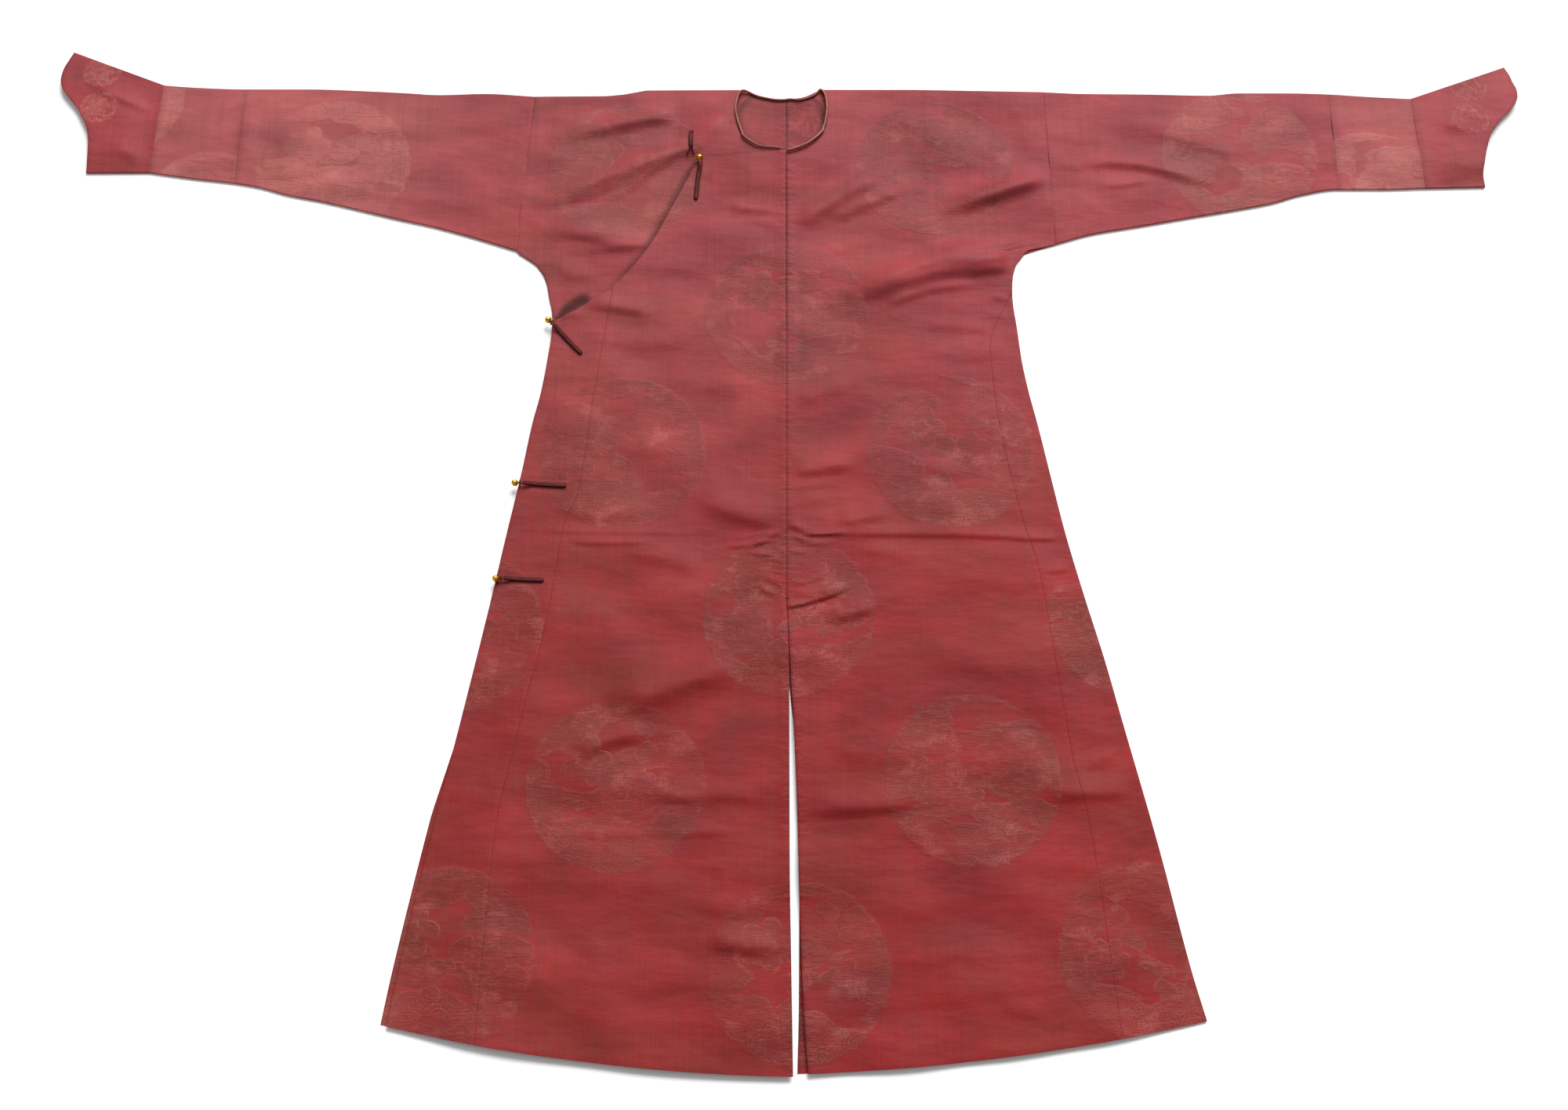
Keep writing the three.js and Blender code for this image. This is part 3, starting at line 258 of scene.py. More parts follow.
# Folds: (panel, start, middle, end, rise, width towards the neck, width towards the hem), listed from the
# wearer's right to left, or from top to bottom
folds = [
    ("left", (70, 360), (206, 306), (326, 296), 10.8, 20.9, 14.4),
    ("left", (18, 240), (61, 194), (150, 140), 6.8, 19, 12.8),
    ("left", (190, 214), (290, 176), (356, 150), 6.8, 20.9, 13.6),
    ("left", (4, 800), (36, 797), (84, 782), 2.6, 12, 7),
    ("left", (16, 1082), (80, 1082), (150, 1080), 2.2, 19, 12),
    ("left", (30, 712), (190, 712), (345, 718), 2.3, 14, 4.6),
    ("right", (-330, 198), (-218, 138), (-120, 96), 8.1, 16.1, 11),
    ("right", (-310, 84), (-215, 58), (-140, 44), 6.8, 15.2, 11),
    ("flap", (-299, 381), (-282, 378), (-261, 384), 1.5, 9, 6),
    ("right", (-84, 45), (-120, 82), (-156, 113), 5, 17, 7.6),
    ("flap", (-3, 198), (-46, 193), (-78, 209), 0.8, 6, 4),
    ("flap", (-224, 961), (-136, 923), (-47, 897), 7.4, 27, 19),
    ("flap", (-95, 1258), (-50, 1262), (-4, 1264), 5.4, 17.1, 10.2),
    ("flap", (-279, 723), (-226, 725), (-152, 723), 1.5, 12, 3.4),
    ("sleeveLeft", (393, 135), (486, 131), (587, 173), 4.4, 13, 8),
    ("sleeveRight", (-744, 130), (-742, 80), (-740, 40), 2.7, 13.3, 10.2),
    ("cuffRight", (-985, -24), (-932, 14), (-880, 38), 2.4, 9, 5),
    ("cuffLeft", (905, 60), (925, 64), (950, 66), 2.7, 11.4, 7.6),
    ("right", (-120, 655), (-61, 682), (-5, 700), 4.4, 24, 13),
    ("flap", (-221, 733), (-152, 747), (-104, 769), 3, 24.7, 13.6),
    ("flap", (-267, 823), (-238, 830), (-198, 834), 1.2, 22, 12),
    ("flap", (-273, 358), (-222, 367), (-176, 376), 4.3, 17.1, 7.6),
    ("right", (-167, 361), (-205, 401), (-237, 437), 0.9, 3.5, 3),
    ("flap", (-74, 732), (-59, 730), (-45, 724), 1.7, 4.5, 2),
    ("flap", (-53, 738), (-28, 720), (-1, 706), 2.7, 6, 2.4),
    ("flap", (-47, 741), (-31, 742), (-14, 741), 1.6, 4.5, 2),
    ("flap", (-43, 727), (-29, 724), (-15, 722), 1.4, 3.6, 2),
    ("left", (4, 700), (13, 704), (25, 711), 2.1, 5, 2),
    ("left", (15, 714), (46, 712), (80, 711), 2.1, 6, 2.2),
    ("left", (10, 716), (18, 720), (26, 727), 1.8, 4.5, 2),
    ("flap", (-33, 788), (-24, 795), (-14, 801), 2, 5, 2),
    ("left", (-16, 819), (34, 808), (80, 788), 3, 6, 1.9),
    ("left", (43, 796), (57, 792), (71, 784), 1.6, 5, 2),
    ("flap", (-27, 830), (-14, 831), (-1, 830), 0.6, 2.6, 2.4),
    ("flap", (-29, 837), (-15, 837), (-1, 835), 0.6, 2.6, 2.4),
    ("flap", (-31, 845), (-15, 844), (-1, 842), 0.7, 2.8, 2.4),
    ("flap", (-28, 853), (-15, 850), (-1, 848), 0.6, 2.6, 2.4),
    ("flap", (-32, 862), (-17, 858), (-1, 855), 0.7, 2.8, 2.6),
    ("flap", (-254, 1022), (-217, 1000), (-163, 992), 5.7, 20.9, 8.5),
    ("flap", (-186, 1072), (-97, 1072), (-13, 1077), 2, 18, 7),
    ("flap", (-151, 1074), (-128, 1077), (-99, 1084), 1.4, 8, 5),
    ("flap", (-246, 1265), (-226, 1266), (-209, 1265), 1.4, 14, 8),
    ("flap", (-285, 1296), (-167, 1304), (-58, 1302), 1.2, 30, 14),
    ("flap", (-418, 1068), (-370, 1076), (-333, 1070), 1.4, 20, 11),
    ("flap", (-458, 1238), (-407, 1248), (-361, 1250), 1.4, 20, 12),
    ("flap", (-421, 1124), (-280, 1124), (-134, 1124), 0.9, 7, 3),
    ("flap", (-233, 1124), (-180, 1124), (-134, 1123), 0.8, 7, 3),
    ("left", (91, 338), (197, 289), (301, 271), 6.8, 22.8, 11),
    ("left", (130, 369), (185, 340), (269, 328), 3, 11.4, 6),
    ("left", (272, 351), (285, 352), (300, 356), 1.8, 6, 2.8),
    ("left", (262, 377), (280, 379), (296, 382), 1, 5, 3),
    ("left", (238, 300), (266, 292), (298, 288), 1.6, 7, 4),
    ("left", (49, 277), (79, 270), (109, 265), 1.4, 12, 8),
    ("left", (5, 622), (42, 616), (92, 609), 3.5, 19, 7.6),
    ("left", (5, 644), (37, 641), (82, 637), 1.2, 10, 6),
    ("left", (57, 690), (96, 688), (137, 674), 3.8, 20.9, 10.2),
    ("left", (91, 733), (125, 740), (155, 747), 1.4, 16, 10),
    ("left", (46, 834), (80, 824), (114, 812), 3.8, 19, 9.3),
    ("left", (3, 665), (57, 660), (127, 653), 1.2, 14, 8),
    ("left", (4, 1096), (100, 1089), (176, 1079), 3, 21, 7),
    ("left", (308, 1073), (364, 1070), (421, 1068), 2.7, 19, 6.8),
    ("left", (352, 1036), (376, 1027), (400, 1018), 1.6, 12, 7),
    ("left", (78, 1338), (196, 1323), (360, 1302), 1.1, 26, 11),
    ("left", (246, 1334), (268, 1340), (299, 1349), 1.4, 14, 8),
    ("left", (248, 1159), (304, 1159), (369, 1153), 1.1, 30, 15),
    ("left", (35, 958), (112, 953), (189, 942), 1.1, 30, 15),
    ("left", (230, 206), (294, 177), (358, 151), 4.1, 17.1, 7.6),
    ("left", (313, 21), (333, 75), (339, 136), 1.2, 16, 12),
    ("left", (322, 766), (345, 764), (367, 760), 1.2, 8, 4),
    ("left", (277, 718), (312, 719), (349, 719), 1.3, 8, 3.4),
    ("right", (-320, 198), (-239, 169), (-165, 123), 2.7, 11.4, 6),
    ("right", (-321, 243), (-258, 248), (-205, 243), 3.2, 17.1, 7.6),
    ("right", (-253, 62), (-199, 48), (-134, 23), 1.6, 14, 8),
    ("flap", (-83, 198), (-51, 206), (-3, 212), 1.8, 9, 4),
    ("flap", (-77, 217), (-59, 210), (-41, 209), 1.2, 6, 3.4),
    ("flap", (-46, 226), (-25, 230), (-3, 233), 0.9, 6, 4),
    ("flap", (-300, 571), (-269, 523), (-250, 462), 0.7, 20, 14),
    ("flap", (-338, 706), (-220, 710), (-90, 711), 0.9, 7, 3),
    ("sleeveLeft", (425, 167), (463, 164), (501, 155), 1.8, 8, 4),
    ("sleeveLeft", (480, 60), (560, 92), (640, 118), 1.6, 14, 10),
    ("sleeveRight", (-640, 60), (-520, 74), (-400, 60), 1.4, 20, 12),
    ("sleeveRight", (-600, 170), (-480, 190), (-390, 214), 1.6, 18, 11),
    ("cuffRight", (-930, 96), (-905, 112), (-885, 124), 1.2, 10, 7),
    ("right", (-279, 248), (-225, 264), (-178, 258), 3.2, 12, 7),
    ("right", (-283, 277), (-230, 271), (-183, 265), 2.4, 9, 6),
    ("right", (-319, 306), (-287, 315), (-250, 315), 1.8, 12, 7),
    ("right", (-249, 198), (-202, 159), (-146, 105), 2.6, 10, 6),
    ("right", (-244, 163), (-197, 136), (-155, 89), 1.6, 8, 5),
    ("left", (205, 277), (250, 269), (303, 264), 2.4, 7, 4),
    ("left", (213, 297), (260, 287), (309, 289), 2.2, 6, 4),
    ("left", (233, 315), (272, 306), (310, 306), 1.8, 6, 4),
    ("left", (55, 229), (103, 198), (173, 169), 4.4, 17, 10),
    ("left", (175, 394), (225, 397), (282, 399), 1.8, 12, 8),
    ("left", (7, 517), (48, 499), (85, 486), 1.8, 18, 11),
    ("left", (153, 600), (193, 616), (239, 629), 1.6, 14, 9),
    ("left", (288, 624), (308, 630), (328, 630), 1, 7, 3),
    ("left", (162, 425), (244, 440), (296, 433), 1.2, 22, 14),
    ("left", (116, 688), (216, 676), (326, 688), 1.2, 26, 16),
    ("left", (144, 784), (223, 773), (292, 781), 1.2, 26, 16),
    ("left", (171, 889), (277, 899), (362, 905), 1.6, 24, 14),
    ("left", (54, 1006), (111, 1021), (177, 1018), 1.4, 24, 14),
    ("left", (222, 1109), (305, 1121), (390, 1117), 1.4, 26, 14),
    ("left", (80, 1218), (163, 1209), (245, 1218), 1.2, 28, 16),
    ("left", (115, 1282), (198, 1272), (298, 1279), 1.2, 26, 14),
    ("flap", (-167, 499), (-106, 489), (-34, 499), 1.4, 22, 14),
    ("flap", (-252, 413), (-179, 425), (-117, 416), 1.6, 18, 11),
    ("flap", (-287, 571), (-205, 589), (-125, 577), 1.2, 24, 14),
    ("flap", (-313, 665), (-243, 682), (-173, 676), 1.8, 18, 10),
    ("flap", (-339, 942), (-272, 953), (-205, 938), 1.4, 24, 14),
    ("flap", (-343, 1058), (-267, 1068), (-192, 1058), 1.2, 24, 14),
    ("flap", (-281, 1179), (-188, 1187), (-115, 1179), 1.2, 26, 14),
    ("flap", (-384, 1159), (-329, 1154), (-282, 1164), 1.2, 22, 12),
    ("flap", (-114, 1209), (-59, 1218), (-3, 1211), 1.8, 20, 10),
    ("flap", (-113, 1163), (-92, 1165), (-73, 1160), 0.9, 6, 3),
    ("flap", (-139, 1125), (-101, 1121), (-67, 1115), 1.2, 7, 3),
    ("flap", (-193, 287), (-129, 306), (-77, 297), 1.2, 18, 11),
    ("left", (5, 697), (17, 701), (34, 706), 0.9, 3.5, 2.4),
    ("left", (26, 722), (41, 725), (66, 722), 0.9, 4, 2.6),
    ("left", (5, 733), (15, 739), (28, 742), 0.8, 3.5, 2.4),
    ("flap", (-63, 720), (-43, 715), (-13, 708), 0.9, 4, 2.6),
    ("flap", (-31, 751), (-18, 749), (-3, 751), 0.8, 3.5, 2.4),
    ("flap", (-23, 776), (-13, 781), (-3, 790), 0.9, 4, 2.6),
    ("left", (7, 784), (26, 781), (46, 773), 0.9, 5, 3),
]
foldShape = {"points": 17, "reach": 3.0, "endRise": 0.15, "endShare": 0.3}


def foldHeight(on, out, down):
    height = np.zeros(np.broadcast(out, down).shape)
    out, down = np.broadcast_arrays(out, down)
    t = np.linspace(0.0, 1.0, foldShape["points"])[:, None]
    for panel, start, middle, end, rise, above, below in folds:
        if panel != on:
            continue
        a, b, c = (np.array(spot, dtype=float) for spot in (start, middle, end))
        bend = 2 * b - (a + c) / 2
        route = (1 - t) ** 2 * a + 2 * t * (1 - t) * bend + t**2 * c
        reach = foldShape["reach"] * max(above, below)
        low, high = route.min(axis=0) - reach, route.max(axis=0) + reach
        near = (out > low[0]) & (out < high[0]) & (down > low[1]) & (down < high[1])
        if not near.any():
            continue
        x, y = out[near], down[near]
        nearest = np.full(x.shape, np.inf)
        place = np.zeros(x.shape)
        side = np.zeros(x.shape)
        for i in range(len(route) - 1):
            dx, dy = route[i + 1] - route[i]
            share = np.clip(((x - route[i][0]) * dx + (y - route[i][1]) * dy) / (dx * dx + dy * dy), 0, 1)
            away = np.hypot(x - route[i][0] - share * dx, y - route[i][1] - share * dy)
            closer = away < nearest
            nearest = np.where(closer, away, nearest)
            place = np.where(closer, (i + share) / (len(route) - 1), place)
            side = np.where(closer, (y - route[i][1]) * dx - (x - route[i][0]) * dy, side)
        width = np.where(side > 0, below, above)
        ends = mix(foldShape["endRise"], 1.0, ramp(np.minimum(place, 1 - place) / foldShape["endShare"]))
        height[near] += rise * ends * np.exp(-((nearest / width) ** 2))
    return height


rippleShape = {"waves": 9, "length": (45, 170), "lean": 0.45, "least": 0.4, "sway": 1.2,
               "swayLength": (60, 120)}


def ripple(out, down, seed, rise=0.5):  # slow unevenness of cloth that has lain folded
    draw = np.random.default_rng(seed)
    height = np.zeros(np.broadcast(out, down).shape)
    for _ in range(rippleShape["waves"]):
        length = draw.uniform(*rippleShape["length"])
        angle = draw.normal(0.0, rippleShape["lean"])
        phase = draw.uniform(0, 2 * math.pi)
        along = down * math.cos(angle) + out * math.sin(angle)
        size = rise * draw.uniform(rippleShape["least"], 1.0)
        sway = rippleShape["sway"] * np.sin(out / draw.uniform(*rippleShape["swayLength"]))
        height += size * np.sin(2 * math.pi * along / length + phase + sway)
    return height


def frontHeight(half, out, down):
    belowArmpit = np.maximum(down, half["armpit"])
    edge = np.abs(curve(half["side"], belowArmpit))
    reach = np.maximum(half["side"][1][0] + armpitMargin - down, edge - np.abs(out))
    closing = ramp(reach / cloth["sideTaper"])
    pastNeck = np.maximum(0.0, np.abs(down - neckLift["middle"]) - neckLift["halfDepth"])
    fromNeck = np.hypot(out - neckShift, pastNeck) - neckLift["halfWidth"]
    nearNeck = ramp(1.0 - fromNeck / neckLift["reach"]) * ramp(down / neckLift["top"])
    nearNeck = nearNeck * ramp((neckLift["end"] - down) / neckLift["fade"])
    nearHem = ramp((down - (half["sideEnd"] - hemLift)) / hemLift)
    ease = mix(cloth["ease"], cloth["neckEase"], nearNeck)
    ease = mix(ease, cloth["hemEase"], nearHem)
    lapped = (1.0 - ramp(out / cloth["seamRise"])) * ramp(down / cloth["lapRise"]) if half is left else 0.0
    overLap = lapped * (cloth["cadWall"] + cloth["lapGap"])
    height = cloth["cadWall"] + mix(cloth["seam"], ease, closing) + overLap
    uneven = ripple(out, down, seeds["body"]) * ramp(down / cloth["rippleTop"]) * closing
    return height + foldHeight(half["name"], out, down) * ramp(reach / cloth["foldTaper"]) + uneven


def flapHeight(out, down):
    over = cloth["cadWall"] + cloth["lapGap"]
    return frontHeight(right, out, down) + over + foldHeight("flap", out, down)


def foldStart(out):
    return line(shoulderLine, out) + cloth["cadWall"] / 2 + (cloth["cadWall"] + cloth["ease"]) / 2


def backShift(down):
    return neckShift * ramp((neckBack[-1][0] - down) / neckShiftFade)


def innerEdge(neck, vent, sign):
    def edgeAt(down):
        edge = curve(neck, down)
        if neck is neckBack:
            edge = sign * edge + backShift(down)
        if vent is None:
            return edge
        return np.where(down > ventTop, curve(vent, down), edge)
    return edgeAt


def spread(width, step):  # shares across a panel, closer at both edges
    count = max(2, int(round((width - 2 * edgeColumns[-1]) / step)))
    middle = np.linspace(edgeColumns[-1], width - edgeColumns[-1], count + 1)
    ends = np.array(edgeColumns[:-1])
    return np.concatenate([ends, middle, width - ends[::-1]]) / width


def rowsBetween(marks, step):
    rows = [marks[0]]
    if step == cloth["step"] and marks[0] < fineRows["from"] and marks[-1] > fineRows["to"]:
        marks = sorted(set(marks) | {fineRows["from"], fineRows["to"]})
    for a, b in zip(marks[:-1], marks[1:]):
        fine = step == cloth["step"] and a >= fineRows["from"] and b <= fineRows["to"]
        count = max(1, int(round((b - a) / (fineRows["step"] if fine else step))))
        rows.extend(np.linspace(a, b, count + 1)[1:])
    return np.array(rows)


# The woven roundels: (panel group, out, down, radius, kind, mirrored)
roundels = [
    ("body", -218, 140, 110, 1, 1), ("body", 201, 136, 110, 2, -1), ("body", 0, 376, 110, 3, 1),
    ("body", -212, 592, 110, 4, -1), ("body", 211, 589, 110, 5, 1), ("body", 2, 828, 110, 6, 1),
    ("body", -206, 1060, 110, 7, 1), ("body", 223, 1052, 110, 8, -1), ("body", 13, 1296, 110, 9, 1),
    ("body", -400, 1279, 110, 10, 1), ("body", 424, 1272, 110, 11, -1), ("bodyLeft", 22, 58, 36, 23, 1),
    ("goreFlap", -212, 592, 110, 4, -1), ("goreFlap", -412, 850, 112, 12, 1),
    ("goreFlap", -400, 1279, 110, 10, 1),
    ("goreLeft", 211, 589, 110, 5, 1), ("goreLeft", 430, 827, 112, 13, -1),
    ("goreLeft", 424, 1272, 110, 11, -1),
    ("sleeveRight", -622, 132, 108, 14, 1), ("sleeveLeft", 622, 116, 108, 15, -1),
    ("lowerRight", -928, 20, 92, 16, 1), ("lowerRight", -790, 205, 92, 17, 1),
    ("lowerLeft", 800, 178, 98, 18, -1),
    ("cuffRight", -954, 32, 27, 19, 1), ("cuffRight", -958, -31, 27, 20, 1),
    ("cuffLeft", 947, 51, 27, 21, 1), ("cuffLeft", 952, -7, 27, 22, 1),
]
noRoundel = (9000.0, 9000.0, 100.0, 0.0, 1.0)  # too far away to show
roundelReach = 3.0     # how far from its middle a roundel's own coordinates run
roundelSquash = 0.948  # the discs are a little taller than wide
kindScale = 32.0


def gridNormals(points, looped):
    if looped:
        ring = points[:, :-1]
        across = np.roll(ring, -1, axis=1) - np.roll(ring, 1, axis=1)
        across = np.concatenate([across, across[:, :1]], axis=1)
    else:
        across = np.gradient(points, axis=1)
    along = np.gradient(points, axis=0)
    normals = np.cross(along, across)
    return normals / np.maximum(np.linalg.norm(normals, axis=-1, keepdims=True), 1e-12)


# A grid of middle points becomes a thin closed shell, with its garment place and seams as UV layers
def clothShell(name, points, spots, seams, group, looped=False):
    rows, columns = points.shape[:2]
    ring = columns - 1 if looped else columns
    normals = gridNormals(points, looped)
    thin = np.ones((rows, columns, 1))
    thin[[0, -1]] = cloth["edgeShare"]
    if not looped:
        thin[:, [0, -1]] = cloth["edgeShare"]
    half = normals * thin * (cloth["thickness"] / 1000.0) / 2
    shells = [(points + side * half)[:, :ring].reshape(-1, 3) for side in (1, -1)]
    corners = []

    def quad(*four):
        made = [np.stack(np.broadcast_arrays(*corner), axis=-1) for corner in four]
        corners.append(np.stack(made, axis=-2))

    i, j = (grid.ravel() for grid in np.meshgrid(np.arange(rows - 1), np.arange(columns - 1), indexing="ij"))
    quad((0, i, j), (0, i, j + 1), (0, i + 1, j + 1), (0, i + 1, j))
    quad((1, i, j), (1, i + 1, j), (1, i + 1, j + 1), (1, i, j + 1))
    j = np.arange(columns - 1)
    quad((0, 0, j), (1, 0, j), (1, 0, j + 1), (0, 0, j + 1))
    last = rows - 1
    quad((0, last, j), (0, last, j + 1), (1, last, j + 1), (1, last, j))
    if not looped:
        i = np.arange(rows - 1)
        quad((0, i, 0), (0, i + 1, 0), (1, i + 1, 0), (1, i, 0))
        last = columns - 1
        quad((0, i, last), (1, i, last), (1, i + 1, last), (0, i + 1, last))
    quads = np.concatenate(corners)
    side, i, j = quads[..., 0], quads[..., 1], quads[..., 2]
    indices = side * rows * ring + i * ring + (j % ring)
    vertices = np.concatenate(shells)
    a, b, c, d = (vertices[indices[:, k]] for k in range(4))
    volume = np.einsum("ij,ij->i", a, np.cross(b, c)).sum() + np.einsum("ij,ij->i", a, np.cross(c, d)).sum()
    if volume < 0:
        indices, i, j = indices[:, ::-1], i[:, ::-1], j[:, ::-1]
    mesh = bpy.data.meshes.new(name)
    mesh.from_pydata(vertices.tolist(), [], indices.tolist())
    place = spots[i, j]
    middle = place.mean(axis=1)
    local, kinds = nearestRoundel(group, middle, place)
    # the kind layer's second value carries painted shade beside the flap's edge
    if name == "length_right":
        kinds[..., 1] = shadeAt(place)
    layers = {"place": place / 1000.0, "seams": seams[i, j], "roundel": local, "kind": kinds}
    for layer, values in layers.items():
        uv = mesh.uv_layers.new(name=layer)
        uv.data.foreach_set("uv", np.ascontiguousarray(values, dtype=np.float32).reshape(-1))
    mesh.polygons.foreach_set("use_smooth", np.ones(len(mesh.polygons), dtype=bool))
    mesh.set_sharp_from_angle(angle=math.radians(cloth["sharpAngle"]))
    mesh.update()
    area = sum(polygon.area for polygon in mesh.polygons) / 2
    print(f"{name}: {len(mesh.polygons)} faces, {area:.3f} square metres")
    return link(name, mesh)


def nearestRoundel(group, middle, place):
    spots = np.array([row[1:] for row in roundels if group.startswith(row[0])], dtype=float)
    if len(spots) == 0:
        spots = np.array([noRoundel])
    away = np.hypot(middle[:, None, 0] - spots[None, :, 0], middle[:, None, 1] - spots[None, :, 1])
    chosen = spots[(away / spots[None, :, 2]).argmin(axis=1)]
    local = (place - chosen[:, None, :2]) / chosen[:, None, 2:3]
    local = np.clip(local, -roundelReach, roundelReach)
    local[..., 0] *= chosen[:, None, 4]
    local[..., 1] *= -roundelSquash
    kinds = np.zeros_like(local)
    kinds[..., 0] = chosen[:, None, 3] / kindScale
    return local, kinds


# Painted shade, darkened into the cloth's colour under the flap's lifted edge and in the hollow at the second
# button: (out, down, radius) along the hollow
hollowShade = [(-304, 387, 3.6), (-291, 369, 8.0), (-271, 355, 10.5)]
hollowShadeEdge = {"full": 1.55, "fall": 1.1}
underFlapShade = {"dark": 0.8, "reach": 11.0, "from": 104, "fadeIn": 25, "to": 345, "fadeOut": 45}


# painted shade, 0 to 1: dark beside the flap's edge and in the hollow at the second button
def shadeAt(place):
    out, down = place[..., 0], place[..., 1]
    beside = curve(flapEdge, down) - out
    shade = underFlapShade["dark"] * ramp(1.0 - np.abs(beside) / underFlapShade["reach"])
    shade = shade * ramp((down - underFlapShade["from"]) / underFlapShade["fadeIn"])
    shade = shade * ramp((underFlapShade["to"] - down) / underFlapShade["fadeOut"])
    for a, b in zip(hollowShade[:-1], hollowShade[1:]):
        (dx, dy), size = np.subtract(b[:2], a[:2]), math.dist(a[:2], b[:2])
        share = np.clip(((out - a[0]) * dx + (down - a[1]) * dy) / size**2, 0, 1)
        away = np.hypot(out - a[0] - share * dx, down - a[1] - share * dy)
        inside = hollowShadeEdge["full"] - hollowShadeEdge["fall"] * away / mix(a[2], b[2], share)
        shade = np.maximum(shade, ramp(inside))
    return shade


def link(name, mesh):
    piece = bpy.data.objects.new(name, mesh)
    bpy.context.scene.collection.objects.link(piece)
    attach(piece, "root")
    return piece


def edgeDistance(points):  # metres to the nearer long edge
    lengths = np.linalg.norm(np.diff(points, axis=1), axis=-1)
    fromStart = np.concatenate([np.zeros((len(points), 1)), np.cumsum(lengths, axis=1)], axis=1)
    return np.minimum(fromStart, fromStart[:, -1:] - fromStart)


def edgeAway(out, shares):  # millimetres to the nearer long edge, across the panel
    return np.minimum(shares, 1 - shares) * np.abs(out[:, -1:] - out[:, :1])


def seamLayer(points, rows):  # metres to the nearer long edge, and along the panel
    along = np.repeat(rows[:, None] / 1000, points.shape[1], axis=1)
    return np.stack([edgeDistance(points), along], axis=-1)


rolledEdge = {"depth": 0.11, "width": 1.2}


def rolled(height, fromEdge):  # a seam edge turns down a little
    return height - rolledEdge["depth"] * np.exp(-((fromEdge / rolledEdge["width"]) ** 2))


# Body: each length runs from the back hem over the shoulder to the front hem
bodyTurn = {"steps": 7, "firstRow": 8.0}


def bodyPanel(name, half, frontInner, backInner, marks, lowerStep):
    radius = (cloth["cadWall"] + cloth["ease"]) / 2
    shares = spread(panelWidths["length"], cloth["step"])[None, :]
    floor = cloth["cadWall"] / 2
    points, spots, rowMarks = [], [], []

    def outOf(inner, down):
        return mix(inner(down)[:, None], goreOut(half, down)[:, None], shares)

    def addRows(out, down, height, marksOfRows):
        points.append(toWorld(out, down, height))
        spots.append(np.stack(np.broadcast_arrays(out, down), axis=-1))
        rowMarks.append(marksOfRows)

    backMarks = [half["length"], 1016, ventTop, 400, 264, 160]
    neckMarks = [60, 20, 14, 8, 2]
    backRows = np.concatenate([
        -rowsBetween([-mark for mark in backMarks], cloth["hiddenStep"]),
        -rowsBetween([-mark for mark in neckMarks], cloth["turnStep"]),
    ])
    out = outOf(backInner, backRows)
    spotDown = rowPoint(half, backRows[:, None], out)
    addRows(out, np.maximum(spotDown, foldStart(out)), np.full(out.shape, floor), backRows)
    for turn in np.linspace(0, 1, bodyTurn["steps"] + 2)[1:]:
        angle = math.pi * turn
        row = np.array([0.0])
        out = outOf(mixEdges(backInner, frontInner, turn), row)
        down = foldStart(out) - radius * math.sin(angle)
        height = floor + radius - radius * math.cos(angle)
        addRows(out, down, np.full(out.shape, height), row)
    if lowerStep is None:
        rows = rowsBetween(marks, cloth["step"])
    else:
        upper = [mark for mark in marks if mark <= lowerStep[0]]
        lower = [mark for mark in marks if mark > lowerStep[0]]
        rows = np.concatenate([rowsBetween(upper, cloth["step"]),
                               rowsBetween([upper[-1]] + lower, lowerStep[1])[1:]])
    out = outOf(frontInner, rows)
    down = rowPoint(half, rows[:, None], out)
    height = frontHeight(half, out, down) + cloth["cadWall"] / 2
    addRows(out, down, rolled(height, edgeAway(out, shares)), rows)
    points, spots = np.concatenate(points), np.concatenate(spots)
    seams = seamLayer(points, np.concatenate(rowMarks))
    return clothShell(name, points, spots, seams, "bodyLeft" if half is left else "body")


def mixEdges(first, second, share):
    return lambda down: mix(first(down), second(down), share)


frontMarksLeft = [
    bodyTurn["firstRow"], 14, 28, 48, 69, 86, 92, 96, 100, 103, 105, 107, 113, 264, 351, 401, ventTop, 899,
    1016, 1119, 1218, 1353, 1410, 1416, 1418
]
frontMarksRight = [
    bodyTurn["firstRow"], 14, 32, 55, 78, 86, 92, 96, 100, 103, 105, 112, 130, 190, 275, 401, ventTop, 1016,
    1420
]
bodyLeft = bodyPanel("length_left", left, innerEdge(neckLeft, ventLeftFront, 1),
                     innerEdge(neckBack, ventLeftBack, 1), frontMarksLeft, None)
bodyRight = bodyPanel("length_right", right, innerEdge(neckRight, None, -1),
                      innerEdge(neckBack, ventRightBack, -1), frontMarksRight, (401, cloth["lapStep"]))
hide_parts("body_left")
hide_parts("body_right")
print("lengths laid")


# Flap, which crosses to the wearer's right side
def flapOuter(down):
    return np.where(down <= flapEdge[-1][0], curve(flapEdge, down), sideOut(right, down))


def flapInner(down):
    return np.where(down > ventTop, curve(ventFlap, down), 0.0)


flapNarrowest = 4.0
flapMarks = [
    107.6, 109, 111, 113, 117, 121, 128, 136, 145, 155, 206, 305, 340, 386, 401, ventTop, 899, 1159, 1277,
    1412, 1418, 1420
]


def flapPanel():
    rows = rowsBetween(flapMarks, cloth["step"])
    shares = spread(panelWidths["flap"], cloth["step"])[None, :]
    outer = np.minimum(-flapNarrowest, np.maximum(flapOuter(rows), goreOut(flap, rows)))
    out = mix(flapInner(rows)[:, None], outer[:, None], shares)
    down = rowPoint(right, rows[:, None], out)
    height = rolled(flapHeight(out, down) + cloth["cadWall"] / 2, edgeAway(out, shares))
    points = toWorld(out, down, height)
    spots = np.stack([out, down], axis=-1)
    return clothShell("flap", points, spots, seamLayer(points, rows), "body")


flapPiece = flapPanel()
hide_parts("front_flap")
print("flap laid")


